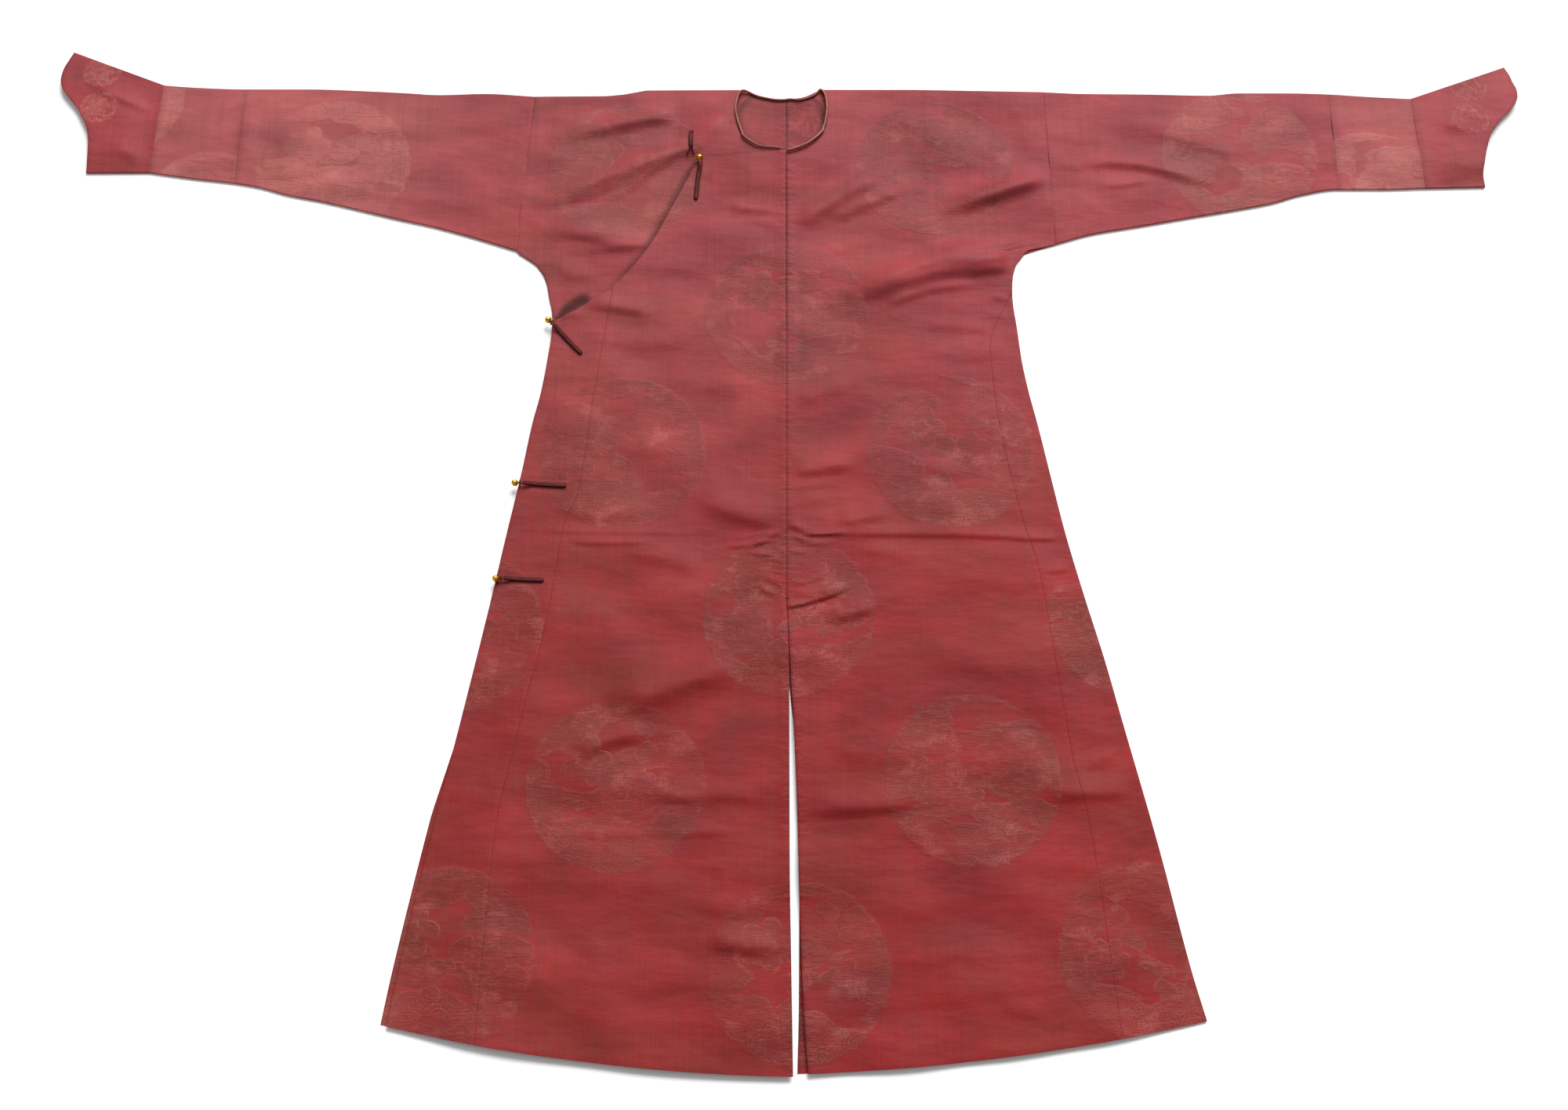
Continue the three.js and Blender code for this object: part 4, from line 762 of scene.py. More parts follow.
# Gores between the lengths and the sides
def gorePanel(name, half, marks, step, outerEdge, heightOf, group):
    rows = rowsBetween(marks, step)
    shares = spread(panelWidths["gore"], step)[None, :]
    out = mix(goreOut(half, rows)[:, None], outerEdge(rows)[:, None], shares)
    down = rowPoint(half, rows[:, None], out)
    if heightOf is None:
        height = np.full(out.shape, cloth["cadWall"] / 2)
    else:
        height = rolled(heightOf(out, down) + cloth["cadWall"] / 2, edgeAway(out, shares))
    points = toWorld(out, down, height)
    spots = np.stack([out, down], axis=-1)
    return clothShell(name, points, spots, seamLayer(points, rows), group)


lapInset = 2.0


def leftSide(down):
    return sideOut(left, down)


def lapSide(down):
    return sideOut(right, down) + lapInset


def backSide(down):
    return sideOut(right, down) - line(backShows, down)


def leftFront(out, down):
    return frontHeight(left, out, down)


def lapFront(out, down):
    return frontHeight(right, out, down)


leftMarks = [351, 401, ventTop, 1412, 1418]
leftBackMarks = [325, 400, 1418]
goreRows = [400, ventTop, 1420]
flapGoreMarks = [340, 363, 386, 401, ventTop, 1414, 1420]
gores = [
    gorePanel("gore_left", left, leftMarks, cloth["step"], leftSide, leftFront, "goreLeft"),
    gorePanel("gore_left_back", left, leftBackMarks, cloth["hiddenStep"], leftSide, None, "goreLeft"),
    gorePanel("gore_lap", right, goreRows, cloth["lapStep"], lapSide, lapFront, "goreFlap"),
    gorePanel("gore_right_back", right, goreRows, cloth["hiddenStep"], backSide, None, "goreFlap"),
    gorePanel("gore_right", flap, flapGoreMarks, cloth["step"], flapOuter, flapHeight, "goreFlap"),
]
goreNodes = ["gore_front_left", "gore_back_left", "gore_underlap", "gore_back_right", "gore_flap"]
for piece, node in zip(gores, goreNodes):
    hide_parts(node)
print("gores laid")


# Sleeves and cuffs are flattened tubes
tube = {"edgeGap": 0.9, "turns": 5, "lowerSteps": 12, "cuffStations": 22, "endRow": 2.0, "endShare": 0.35}
mouth = {"from": 0.05, "reach": 0.45}  # where a cuff begins to open, and over how much of it


def tubePanel(name, stations, upperWidth, spot, easeAt, foldsOn, group, seed):
    half = tube["edgeGap"] / 2 + cloth["cadWall"] / 2
    shares = np.linspace(0, 1, stations + 1)
    fine = tube["endRow"] / (stations * cloth["step"])
    finer = fine * tube["endShare"]
    shares = np.unique(np.concatenate([shares, [finer, fine, 1 - fine, 1 - finer]]))
    top, bottom = spot(np.zeros_like(shares), shares), spot(np.ones_like(shares), shares)
    along = bottom - top
    width = np.linalg.norm(along, axis=1, keepdims=True)
    along = along / width
    margin = (half + cloth["cadWall"] / 2) / width[:, 0]
    floor = cloth["cadWall"] / 2
    columns, spots, around = [], [], []

    def flat(share):
        return spot(mix(margin, 1 - margin, share), shares)

    def add(position, height, place, distance):
        columns.append(toWorld(position[:, 0], position[:, 1], height))
        spots.append(place)
        around.append(distance)

    for share in np.linspace(0, 1, tube["lowerSteps"] + 1):
        at = flat(share)
        add(at, np.full(len(at), floor), at, share * width[:, 0])
    for side, share in ((1, 1.0), (-1, 0.0)):
        if side < 0:
            for shareUp in spread(upperWidth, cloth["step"])[::-1]:
                at = flat(shareUp)
                near = np.minimum(shareUp, 1 - shareUp) * width[:, 0]
                closing = ramp(near / cloth["sleeveTaper"])
                uneven = ripple(at[:, 0], at[:, 1], seed, cloth["armRipple"])
                fold = foldHeight(foldsOn, at[:, 0], at[:, 1]) * ramp(near / cloth["foldTaper"])
                gap = mix(tube["edgeGap"], easeAt(shares), closing) + uneven * closing + fold
                add(at, cloth["cadWall"] * 1.5 + gap, at, shareUp * width[:, 0])
        centre = flat(share)
        for turn in np.linspace(0, 1, tube["turns"] + 2)[1:-1]:
            angle = math.pi * (turn if side > 0 else 1 - turn)
            shift = along * (side * math.sin(angle) * half)
            height = floor + half - half * math.cos(angle)
            add(centre + shift, np.full(len(centre), height), centre, share * width[:, 0])
    columns.append(columns[0])
    spots.append(spots[0])
    around.append(around[0])
    points, spots = np.stack(columns, axis=1), np.stack(spots, axis=1)
    length = np.linalg.norm(points[-1] - points[0], axis=-1)
    fromEnd = np.minimum(shares, 1 - shares)[:, None] * length[None, :]
    seams = np.stack([fromEnd, np.stack(around, axis=1) / 1000], axis=-1)
    return clothShell(name, points, spots, seams, group, looped=True)


arms = [
    {"name": "left", "sign": 1, "seamTop": 358, "top": sleeveTopLeft, "bottom": sleeveBottomLeft,
     "end": cuffEndLeft, "folds": "Left"},
    {"name": "right", "sign": -1, "seamTop": 350, "top": sleeveTopRight, "bottom": sleeveBottomRight,
     "end": cuffEndRight, "folds": "Right"},
]
sleeveSeams = [
    {"name": "upper", "fromTop": None, "fromBottom": 363, "toTop": 755, "toBottom": 754, "stations": 65},
    {"name": "lower", "fromTop": 755, "fromBottom": 754, "toTop": 869, "toBottom": 872, "stations": 19},
]


def sleeveSpot(arm, seam):
    fromTop = arm["seamTop"] if seam["fromTop"] is None else seam["fromTop"]

    def spot(s, t):
        outTop = mix(fromTop, seam["toTop"], t)
        outBottom = mix(seam["fromBottom"], seam["toBottom"], t)
        down = mix(curve(arm["top"], outTop), curve(arm["bottom"], outBottom), s)
        return np.stack([arm["sign"] * mix(outTop, outBottom, s), down], axis=-1)
    return spot


def cuffSpot(arm):
    last = sleeveSeams[1]
    topDown, bottomDown = curve(arm["top"], last["toTop"]), curve(arm["bottom"], last["toBottom"])

    def spot(s, t):
        seamOut = mix(last["toTop"], last["toBottom"], s)
        endDown = mix(arm["end"][0][0], arm["end"][-1][0], s)
        endOut = curve(arm["end"], endDown)
        down = mix(mix(topDown, bottomDown, s), endDown, t)
        return np.stack([arm["sign"] * mix(seamOut, endOut, t), down], axis=-1)
    return spot


def mouthEase(t):
    return mix(cloth["ease"], cloth["cuffEase"], ramp((t - mouth["from"]) / mouth["reach"]))


def sleeveEase(t):
    return np.full(t.shape, cloth["ease"])


armPieces = []
cuffPieces = []
for arm in arms:
    for seam in sleeveSeams:
        part = seam["name"]
        group = ("sleeve" if part == "upper" else "lower") + arm["folds"]
        piece = tubePanel(f"sleeve_{part}_{arm['name']}_cloth", seam["stations"], panelWidths[part],
                          sleeveSpot(arm, seam), sleeveEase, "sleeve" + arm["folds"], group, seeds[part])
        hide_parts(f"sleeve_{seam['name']}_{arm['name']}")
        armPieces.append(piece)
    group = "cuff" + arm["folds"]
    cuff = tubePanel(f"hoof_{arm['name']}", tube["cuffStations"], panelWidths["cuff"], cuffSpot(arm),
                     mouthEase, group, group, seeds["cuff"])
    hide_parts(f"cuff_{arm['name']}")
    cuffPieces.append(cuff)
print("sleeves and cuffs laid")


# Cords
def ringFaces(count, sides):  # faces round a row of rings, closed at both ends
    quads = []
    for i in range(count - 1):
        for j in range(sides):
            k = (j + 1) % sides
            quads.append((i * sides + j, i * sides + k, (i + 1) * sides + k, (i + 1) * sides + j))
    return quads + [tuple(range(sides))[::-1], tuple((count - 1) * sides + j for j in range(sides))]


def tubeMesh(name, route, section):
    route = np.asarray(route, dtype=float)
    before = np.vstack([route[:1], route[:-1]])
    after = np.vstack([route[1:], route[-1:]])
    tangent = after - before
    tangent /= np.linalg.norm(tangent, axis=1, keepdims=True)
    across = np.cross(tangent, (0.0, 0.0, 1.0))
    across /= np.linalg.norm(across, axis=1, keepdims=True)
    above = np.cross(across, tangent)
    rings = [section(i / (len(route) - 1)) for i in range(len(route))]
    grid = np.array([
        [middle + side * x / 1000 + up * y / 1000 for x, y in ring]
        for middle, side, up, ring in zip(route, across, above, rings)
    ])
    sides = grid.shape[1]
    mesh = bpy.data.meshes.new(name)
    mesh.from_pydata(grid.reshape(-1, 3).tolist(), [], ringFaces(len(grid), sides))
    uv = mesh.uv_layers.new(name="along")
    lengths = np.concatenate([[0], np.cumsum(np.linalg.norm(np.diff(route, axis=0), axis=1))])
    for polygon in mesh.polygons:
        for loop in polygon.loop_indices:
            vertex = mesh.loops[loop].vertex_index
            uv.data[loop].uv = (lengths[vertex // sides], (vertex % sides) / sides)
    mesh.polygons.foreach_set("use_smooth", np.ones(len(mesh.polygons), dtype=bool))
    return facingOut(mesh)


def tubeAlong(name, route, section):
    return link(name, tubeMesh(name, route, section))


def merged(name, meshes):
    shape = bmesh.new()
    for part in meshes:
        shape.from_mesh(part)
    mesh = bpy.data.meshes.new(name)
    shape.to_mesh(mesh)
    shape.free()
    return mesh


def facingOut(mesh):
    shape = bmesh.new()
    shape.from_mesh(mesh)
    bmesh.ops.recalc_face_normals(shape, faces=shape.faces)
    shape.to_mesh(mesh)
    shape.free()
    return mesh


spanPoints = 24


def smoothRoute(spots, count):  # even points on a smooth curve through the spots
    spots = np.asarray(spots, dtype=float)
    padded = np.vstack([2 * spots[0] - spots[1], spots, 2 * spots[-1] - spots[-2]])
    fine = []
    for i in range(len(spots) - 1):
        p0, p1, p2, p3 = padded[i:i + 4]
        t = np.linspace(0, 1, spanPoints, endpoint=False)[:, None]
        fine.append(0.5 * (2 * p1 + (p2 - p0) * t + (2 * p0 - 5 * p1 + 4 * p2 - p3) * t**2
                           + (3 * p1 - p0 - 3 * p2 + p3) * t**3))
    fine = np.vstack(fine + [spots[-1:]])
    lengths = np.concatenate([[0], np.cumsum(np.linalg.norm(np.diff(fine, axis=0), axis=1))])
    even = np.linspace(0, lengths[-1], count)
    return np.stack([np.interp(even, lengths, fine[:, k]) for k in range(fine.shape[1])], axis=-1)


# The roll's middle line: (out, down, radius, rise above the cloth); the front part steps up on each side
rollFrontLeft = [
    (0.5, 107.6, 1.5, 0.2), (5, 107.4, 1.8, 0.8), (16, 103.4, 1.9, 1.3), (29, 96.2, 1.9, 1.5),
    (40, 86.6, 1.9, 1.5), (49.4, 74.6, 1.9, 1.3), (50.6, 70.5, 1.6, 0), (54, 56, 1.6, 0), (56.4, 34, 1.6, 0),
    (55, 15, 1.6, 0),
]
rollFrontRight = [
    (-68, 14, 1.6, 0), (-70.4, 34, 1.6, 0), (-67.4, 55, 1.6, 0), (-61, 77, 1.6, 0), (-59.6, 82, 1.8, 1.2),
    (-51, 90.6, 1.7, 1.2), (-40, 98.4, 1.5, 1.0), (-28, 101.4, 1.3, 0.6), (-14, 102.6, 1.2, 0.4),
    (-3, 105.4, 1.1, 0),
]
rollBack = [
    (44, 3.6), (36, 11), (20, 17), (5, 16.4), (-3, 17.6), (-14, 17.4), (-25, 15.4), (-40, 11), (-51, 5),
]
rollTurnLeft = [(52.5, 6), (49, 0.5), (46, 1)]  # from the front over the shoulder's fold to the back
rollTurnRight = [(-65, 5.5), (-60.5, 1.5), (-55.5, 3)]
binding = {
    "lift": cloth["cadWall"] + cloth["seam"],
    "points": 230,
    "sides": 14,
    "backRadius": 1.5,
    "backDrop": 0.4,
    "frontTurn": 2.4,     # height of the turns above the walls
    "foldTurn": 2.2,
    "backTurn": 3.4,
}


def rollOnFront(half, rows):
    spots = []
    for out, down, radius, rise in rows:
        under = heightAt(lambda a, b: frontHeight(half, a, b), out, down) + binding["lift"]
        spots.append((out, down, under + radius + rise, radius))
    return spots


def neckBinding():
    radius, wall = binding["backRadius"], cloth["cadWall"]
    turnHeights = (2 * wall + cloth["ease"] + binding["frontTurn"], 2 * wall + binding["foldTurn"],
                   wall + binding["backTurn"])
    turnLeft = [(*spot, height, radius) for spot, height in zip(rollTurnLeft, turnHeights)]
    turnRight = [(*spot, height, radius) for spot, height in zip(rollTurnRight, turnHeights)][::-1]
    back = [(out, down + binding["backDrop"], binding["lift"] + radius, radius) for out, down in rollBack]
    spots = rollOnFront(left, rollFrontLeft) + turnLeft + back + turnRight
    spots += rollOnFront(right, rollFrontRight)
    route = smoothRoute(spots, binding["points"])
    return toWorld(route[:, 0], route[:, 1], route[:, 2]), route[:, 3]


def heightAt(heightOf, out, down):
    return float(heightOf(np.array(float(out)), np.array(float(down))))


def roundSection(radius, sides):
    angles = np.linspace(0, 2 * math.pi, sides, endpoint=False)
    ring = [(radius * math.cos(angle), radius * math.sin(angle)) for angle in angles]
    return lambda share: ring


def rollSection(share):
    radius = float(np.interp(share, rollShares, rollRadii))
    return roundSection(radius, binding["sides"])(share)


rollRoute, rollRadii = neckBinding()
rollShares = np.linspace(0, 1, len(rollRadii))
bindingPiece = tubeAlong("neck_roll", rollRoute, rollSection)
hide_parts("neck_binding")


# Fastenings: gilt balls on shanks, the straps that hold them and the loops round the shanks
fastening = {
    "ballRadius": 4.6,
    "ballSides": 48,
    "ballTurns": 26,
    "shankRadius": 1.3,
    "shankLength": 4.2,
    "cadShank": 1.5,      # radius of the shank in the solids
    "besideBall": (3, 2),
    "loopCord": 0.8,
    "loopPoints": 28,
    "loopSides": 8,
}
ribs = {"size": 0.06, "count": 3, "sharpness": 0.7, "fade": 1.2, "body": 0.94, "rings": 0.03, "ringCount": 10}
strapShape = {
    "halfWidth": 3.0,
    "halfDepth": 1.45,
    "groove": 0.22,       # between its two cords
    "grooveWidth": 0.2,
    "tip": 0.55,
    "tipShare": 0.03,
    "sides": 20,
    "points": 22,
    "lift": 1.3,
    "climb": 0.3,         # share of the strap that climbs to its shank
    "sway": 0.8,
    "swayShare": 0.3,
}
buttons = [
    {"ball": (-119, 120), "aim": (-117.5, 131), "to": (-123, 190)},
    {"ball": (-315, 387), "aim": (-306, 395), "to": (-269, 440)},
    {"ball": (-347, 637), "aim": (-337, 636.5), "to": (-281, 641)},
    {"ball": (-364, 776), "aim": (-354, 775), "to": (-304, 778)},
]
loopStrap = {
    "from": (-131, 72),
    "to": (-130.6, 101),
    "legCord": 1.05,
    "legPoints": 16,
    "legSides": 10,
    "legs": [
        [(-131.8, 99), (-133.4, 106), (-136.6, 115)],
        [(-129.4, 99), (-128.8, 106), (-126.4, 113)],
    ],
}


def strapSection():
    angles = np.linspace(0, 2 * math.pi, strapShape["sides"], endpoint=False)

    def section(share):
        tip = mix(strapShape["tip"], 1.0, float(ramp(min(share, 1 - share) / strapShape["tipShare"])))
        ring = []
        for angle in angles:
            x, y = math.cos(angle), math.sin(angle)
            waist = 1 - strapShape["groove"] * math.exp(-((x / strapShape["grooveWidth"]) ** 2))
            ring.append((strapShape["halfWidth"] * x * tip, strapShape["halfDepth"] * y * waist * tip))
        return ring
    return section


def strapRoute(start, end, heightOf, startHeight=None):
    rest = cloth["cadWall"] + cloth["seam"] + strapShape["lift"]
    climb = 0.0 if startHeight is None else startHeight - heightAt(heightOf, *start) - rest
    spots = []
    across = np.array([-(end[1] - start[1]), end[0] - start[0]], dtype=float)
    across /= np.linalg.norm(across)
    for share in np.linspace(0, 1, strapShape["points"]):
        bend = strapShape["sway"] * math.sin(math.pi * share) * ramp(share / strapShape["swayShare"])
        out = mix(start[0], end[0], share) + across[0] * bend
        down = mix(start[1], end[1], share) + across[1] * bend
        lift = climb * (1 - float(ramp(share / strapShape["climb"])))
        spots.append((out, down, heightAt(heightOf, out, down) + rest + lift))
    spots = np.array(spots, dtype=float)
    return toWorld(spots[:, 0], spots[:, 1], spots[:, 2])


def aimOf(button):  # from the ball towards its strap
    aim = np.subtract(button["aim"], button["ball"]).astype(float)
    return aim / np.linalg.norm(aim)


def shankEnd(button):
    reach = fastening["ballRadius"] + fastening["shankLength"] + 2 * cloth["seam"]
    return tuple(np.array(button["ball"]) + aimOf(button) * reach)


def ballMesh(name, button, height):  # a gilt ball, cast with ribs, on a short shank
    radius, sides = fastening["ballRadius"], fastening["ballSides"]
    around = np.linspace(0, 2 * math.pi, sides, endpoint=False)
    neck = math.asin(fastening["shankRadius"] / radius)
    rings = []
    for angle in np.linspace(0.02, math.pi - neck, fastening["ballTurns"] + 1):
        rib = np.abs(np.cos(ribs["count"] * around)) ** ribs["sharpness"] * math.sin(angle) ** ribs["fade"]
        ring = ribs["rings"] * math.cos(ribs["ringCount"] * angle)
        size = radius * (ribs["body"] + ribs["size"] * rib + ring)
        rings.append((-size * math.cos(angle), size * math.sin(angle)))
    end = np.full(sides, radius + fastening["shankLength"])
    rings += [(end, np.full(sides, fastening["shankRadius"])), (end, np.full(sides, 0.05))]
    aim = aimOf(button)
    spots = []
    for along, away in rings:
        across = away * np.cos(around)
        out = button["ball"][0] + along * aim[0] - across * aim[1]
        down = button["ball"][1] + along * aim[1] + across * aim[0]
        spots.append(toWorld(out, down, height + radius + away * np.sin(around), height + radius))
    mesh = bpy.data.meshes.new(name)
    mesh.from_pydata(np.concatenate(spots).tolist(), [], ringFaces(len(rings), sides))
    mesh.polygons.foreach_set("use_smooth", np.ones(len(mesh.polygons), dtype=bool))
    return link(name, facingOut(mesh))


def ringRoute(button, height):  # round the shank, standing on edge
    aim = aimOf(button)
    side = np.array([-aim[1], aim[0]])
    middle = np.array(button["ball"]) + aim * (fastening["ballRadius"] + fastening["shankLength"] / 2)
    radius = fastening["cadShank"] + cloth["seam"] + fastening["loopCord"]
    angles = np.linspace(0, 2 * math.pi, fastening["loopPoints"], endpoint=False)
    places = middle + side * radius * np.cos(angles)[:, None]
    centre = height + fastening["ballRadius"]
    return toWorld(places[:, 0], places[:, 1], centre + radius * np.sin(angles), centre)


gilt, cords = [], [bindingPiece]
for number, button in enumerate(buttons, start=1):
    out, down = button["ball"]
    besideOut, besideDown = fastening["besideBall"]
    under = max(heightAt(flapHeight, out + besideOut, down + besideDown), heightAt(flapHeight, out, down))
    under += cloth["cadWall"] + cloth["seam"]
    ball = ballMesh(f"gilt_ball_{number}", button, under)
    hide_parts(f"button_{number}")
    gilt.append(ball)
    route = strapRoute(shankEnd(button), button["to"], flapHeight, under + fastening["ballRadius"])
    strap = tubeAlong(f"strap_{number}", route, strapSection())
    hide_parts(f"button_strap_{number}")
    cords.append(strap)
    if number > 1:
        ring = roundSection(fastening["loopCord"], fastening["loopSides"])
        loop = tubeAlong(f"loop_{number}", ringRoute(button, under), ring)
        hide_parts(f"button_loop_{number}")
        cords.append(loop)
openRoute = strapRoute(loopStrap["from"], loopStrap["to"], lapFront)
loopParts = [tubeMesh("open_loop", openRoute, strapSection())]
for leg in loopStrap["legs"]:
    over = cloth["cadWall"] + cloth["seam"] + loopStrap["legCord"]
    spots = np.array([(*spot, heightAt(lapFront, *spot) + over) for spot in leg])
    route = smoothRoute(spots, loopStrap["legPoints"])
    legSection = roundSection(loopStrap["legCord"], loopStrap["legSides"])
    loopParts.append(tubeMesh("open_loop_leg", toWorld(route[:, 0], route[:, 1], route[:, 2]), legSection))
openStrap = link("open_loop_strap", merged("open_loop_strap", loopParts))
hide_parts("loop_strap_1")
cords.append(openStrap)
print("binding, straps and buttons made")


# Shader maths: a Term wraps a socket, and an expression on Terms adds its Math nodes
class Term:
    def __init__(self, look, socket):
        self.look = look
        self.socket = socket

    def maths(self, operation, *others):
        inputs = dict(enumerate((self,) + others))
        made = self.look.node("ShaderNodeMath", {"operation": operation}, inputs)
        return Term(self.look, made.outputs[0])

    def __add__(self, other):
        return self.maths("ADD", other)

    __radd__ = __add__

    def __sub__(self, other):
        return self.maths("SUBTRACT", other)

    def __rsub__(self, other):
        return (self * -1.0) + other

    def __mul__(self, other):
        return self.maths("MULTIPLY", other)

    __rmul__ = __mul__

    def __truediv__(self, other):
        return self.maths("DIVIDE", other)

    def smooth(self, low, high):
        rising = low < high
        start, end = (0.0, 1.0) if rising else (1.0, 0.0)
        inputs = {0: self, 1: min(low, high), 2: max(low, high), 3: start, 4: end}
        made = self.look.node("ShaderNodeMapRange", {"interpolation_type": "SMOOTHSTEP"}, inputs)
        return Term(self.look, made.outputs[0])

    def least(self, other):
        return self.maths("MINIMUM", other)

    def most(self, other):
        return self.maths("MAXIMUM", other)


# One material and its nodes
class Look:
    def __init__(self, name):
        self.material = bpy.data.materials.new(name)
        self.material.use_nodes = True
        self.tree = self.material.node_tree
        self.shader = self.tree.nodes["Principled BSDF"]

    def node(self, kind, settings=None, inputs=None):
        made = self.tree.nodes.new(kind)
        for key, value in (settings or {}).items():
            setattr(made, key, value)
        for key, value in (inputs or {}).items():
            self.feed(made.inputs[key], value)
        return made

    def feed(self, socket, value):
        if isinstance(value, Term):
            self.tree.links.new(value.socket, socket)
        elif isinstance(value, bpy.types.NodeSocket):
            self.tree.links.new(value, socket)
        else:
            socket.default_value = value

    def layer(self, name):  # a UV layer's two values
        made = self.node("ShaderNodeUVMap", {"uv_map": name})
        parts = self.node("ShaderNodeSeparateXYZ", None, {0: made.outputs[0]})
        return Term(self, parts.outputs[0]), Term(self, parts.outputs[1])

    def vector(self, x, y, z=0.0):
        return self.node("ShaderNodeCombineXYZ", None, {0: x, 1: y, 2: z}).outputs[0]

    def noise(self, vector, scale=1.0, detail=2.0, roughness=0.5, distortion=0.0):
        made = self.node("ShaderNodeTexNoise", {"noise_dimensions": "3D"},
                         {"Vector": vector, "Scale": scale, "Detail": detail, "Roughness": roughness,
                          "Distortion": distortion})
        return Term(self, made.outputs["Fac"])

    def colours(self, factor, first, second, blend="MIX"):
        made = self.node("ShaderNodeMix", {"data_type": "RGBA", "blend_type": blend},
                         {0: factor, 6: first, 7: second})
        return made.outputs[2]

    def bump(self, height, distance, strength=1.0):
        inputs = {"Height": height, "Distance": distance, "Strength": strength}
        made = self.node("ShaderNodeBump", None, inputs)
        self.tree.links.new(made.outputs[0], self.shader.inputs["Normal"])

    def set(self, **values):
        for key, value in values.items():
            self.feed(self.shader.inputs[key.replace("_", " ")], value)


def srgb(red, green, blue):
    def linear(value):
        value /= 255.0
        return value / 12.92 if value <= 0.04045 else ((value + 0.055) / 1.055) ** 2.4
    return (linear(red), linear(green), linear(blue), 1.0)


silkLook = {
    "upper": srgb(139, 54, 58),
    "lower": srgb(125, 30, 30),
    "olive": srgb(106, 46, 36),
    "plum": srgb(112, 30, 42),
    "patch": srgb(100, 42, 35),
    "tan": srgb(158, 88, 76),
    # painted sheen: lighter lustre patches and crepe highlights on the figures
    "paintedSheen": srgb(156, 80, 76),
    # stitches, and also the painted shade inside the neck and the painted shadow beside the bands
    "stitchAndShade": srgb(62, 20, 23),
    "pale": srgb(183, 111, 108),
    "lightPatch": srgb(172, 104, 98),
    # colour of the painted shade under the flap's edge and in the hollow at the second button
    "hollowShade": srgb(50, 8, 9),
    "figure": 0.85,       # how far the figures cover the ground
    "roughness": 0.5,
    "specular": 0.09,
    "sheen": 0.03,
    "sheenRoughness": 0.4,
    "sheenTint": (1.0, 0.62, 0.60, 1.0),
    "bump": 0.0012,
}
# Blotches in the ground: colour, grain out and down, seed, detail, roughness, smooth from and to, amount
blotches = [
    ("olive", 70.0, 3.4, 7.0, 4.0, 0.65, 0.46, 0.72, 0.28),
    ("plum", 4.0, 60.0, 5.0, 4.0, 0.65, 0.50, 0.76, 0.13),
    ("plum", 6.0, 9.0, 12.0, 3.0, 0.55, 0.44, 0.66, 0.30),
    ("olive", 6.0, 9.0, 12.0, 3.0, 0.55, 0.50, 0.32, 0.26),
]
# Marks at the seams, in metres from the edge: where they are gone and full, and how dark
seamMarks = {
    "line": {"gone": 0.0014, "full": 0.0004, "dark": 0.46},
    "ladder": {"gone": 0.0042, "full": 0.0020, "dark": 0.40},
    "solid": {"gone": 0.0019, "full": 0.0008, "dark": 0.5, "least": 0.16},
    "tack": {"gone": 0.0034, "full": 0.0018, "dark": 0.8, "out": 0.0008, "down": 0.8045},
    "plain": {"gone": 0.0020, "full": 0.0006, "flapTop": 0.6, "right": 0.06, "least": 0.02, "bands": 0.10},
    "shadow": {"gone": 0.009, "full": 0.001, "dark": 0.16},
    "hem": {"gone": 0.0010, "full": 0.0005, "dark": 0.3, "along": 1.334},
}
# Painted shade inside the neck's sides: the oval of the neck opening, in metres, and how dark
neckShadeOval = {"out": -0.007, "down": 0.052, "across": 0.062, "along": 0.056, "dark": 0.55}


# Distance from a flower's centre, where 1 is the petals' edge
def petals(x, y, centre, count, size, depth):
    dx, dy = x - centre[0], y - centre[1]
    away = (dx * dx + dy * dy).maths("SQRT")
    angle = dy.maths("ARCTAN2", dx)
    wave = (angle * (count / 2.0)).maths("COSINE").maths("ABSOLUTE")
    return away / (size * (1.0 - depth) + wave * (size * depth))


def flowers(look, x, y):  # two open flowers and a leafy stem: their fill, and the lines drawn in it
    first = petals(x, y, (-0.34, 0.30), 5, 0.30, 0.38)
    second = petals(x, y, (0.46, -0.06), 6, 0.24, 0.36)
    nearest = first.least(second)
    fill = nearest.smooth(1.0, 0.94)
    line = (nearest - 0.98).maths("ABSOLUTE").smooth(0.09, 0.03)
    line = line.most((nearest - 0.36).maths("ABSOLUTE").smooth(0.10, 0.04))
    stem = (x - 0.10 - (y * 3.1).maths("SINE") * 0.24).maths("ABSOLUTE")
    leaf = stem - (y * 12.0).maths("SINE").maths("ABSOLUTE") * 0.12
    within = y.smooth(-0.60, -0.48) * y.smooth(0.82, 0.70)
    fill = fill.most(leaf.smooth(0.01, 0.0) * within)
    line = line.most(leaf.maths("ABSOLUTE").smooth(0.016, 0.004) * within)
    return fill, line


def clouds(look, x, y, seed, away, ragged):  # banks of cloud, closer together at the rim
    made = look.node("ShaderNodeTexVoronoi", {"feature": "SMOOTH_F1", "voronoi_dimensions": "3D"},
                     {"Vector": look.vector(x * 1.7 + seed, y * 3.7, seed), "Scale": 1.0, "Smoothness": 0.10,
                      "Randomness": 0.9})
    drift = look.noise(look.vector(x * 1.6 + seed, y * 2.1, seed + 3.0), 1.0, 1.0)
    depth = Term(look, made.outputs["Distance"]) + (drift - 0.5) * 1.1
    depth = depth - away.smooth(0.30, 0.95) * 0.30 + ragged
    fill = depth.smooth(0.54, 0.44)
    line = (depth - 0.47).maths("ABSOLUTE").smooth(0.030, 0.008)
    inner = (depth - 0.30).maths("ABSOLUTE").smooth(0.030, 0.010)
    return fill * (1.0 - inner * 0.6), line


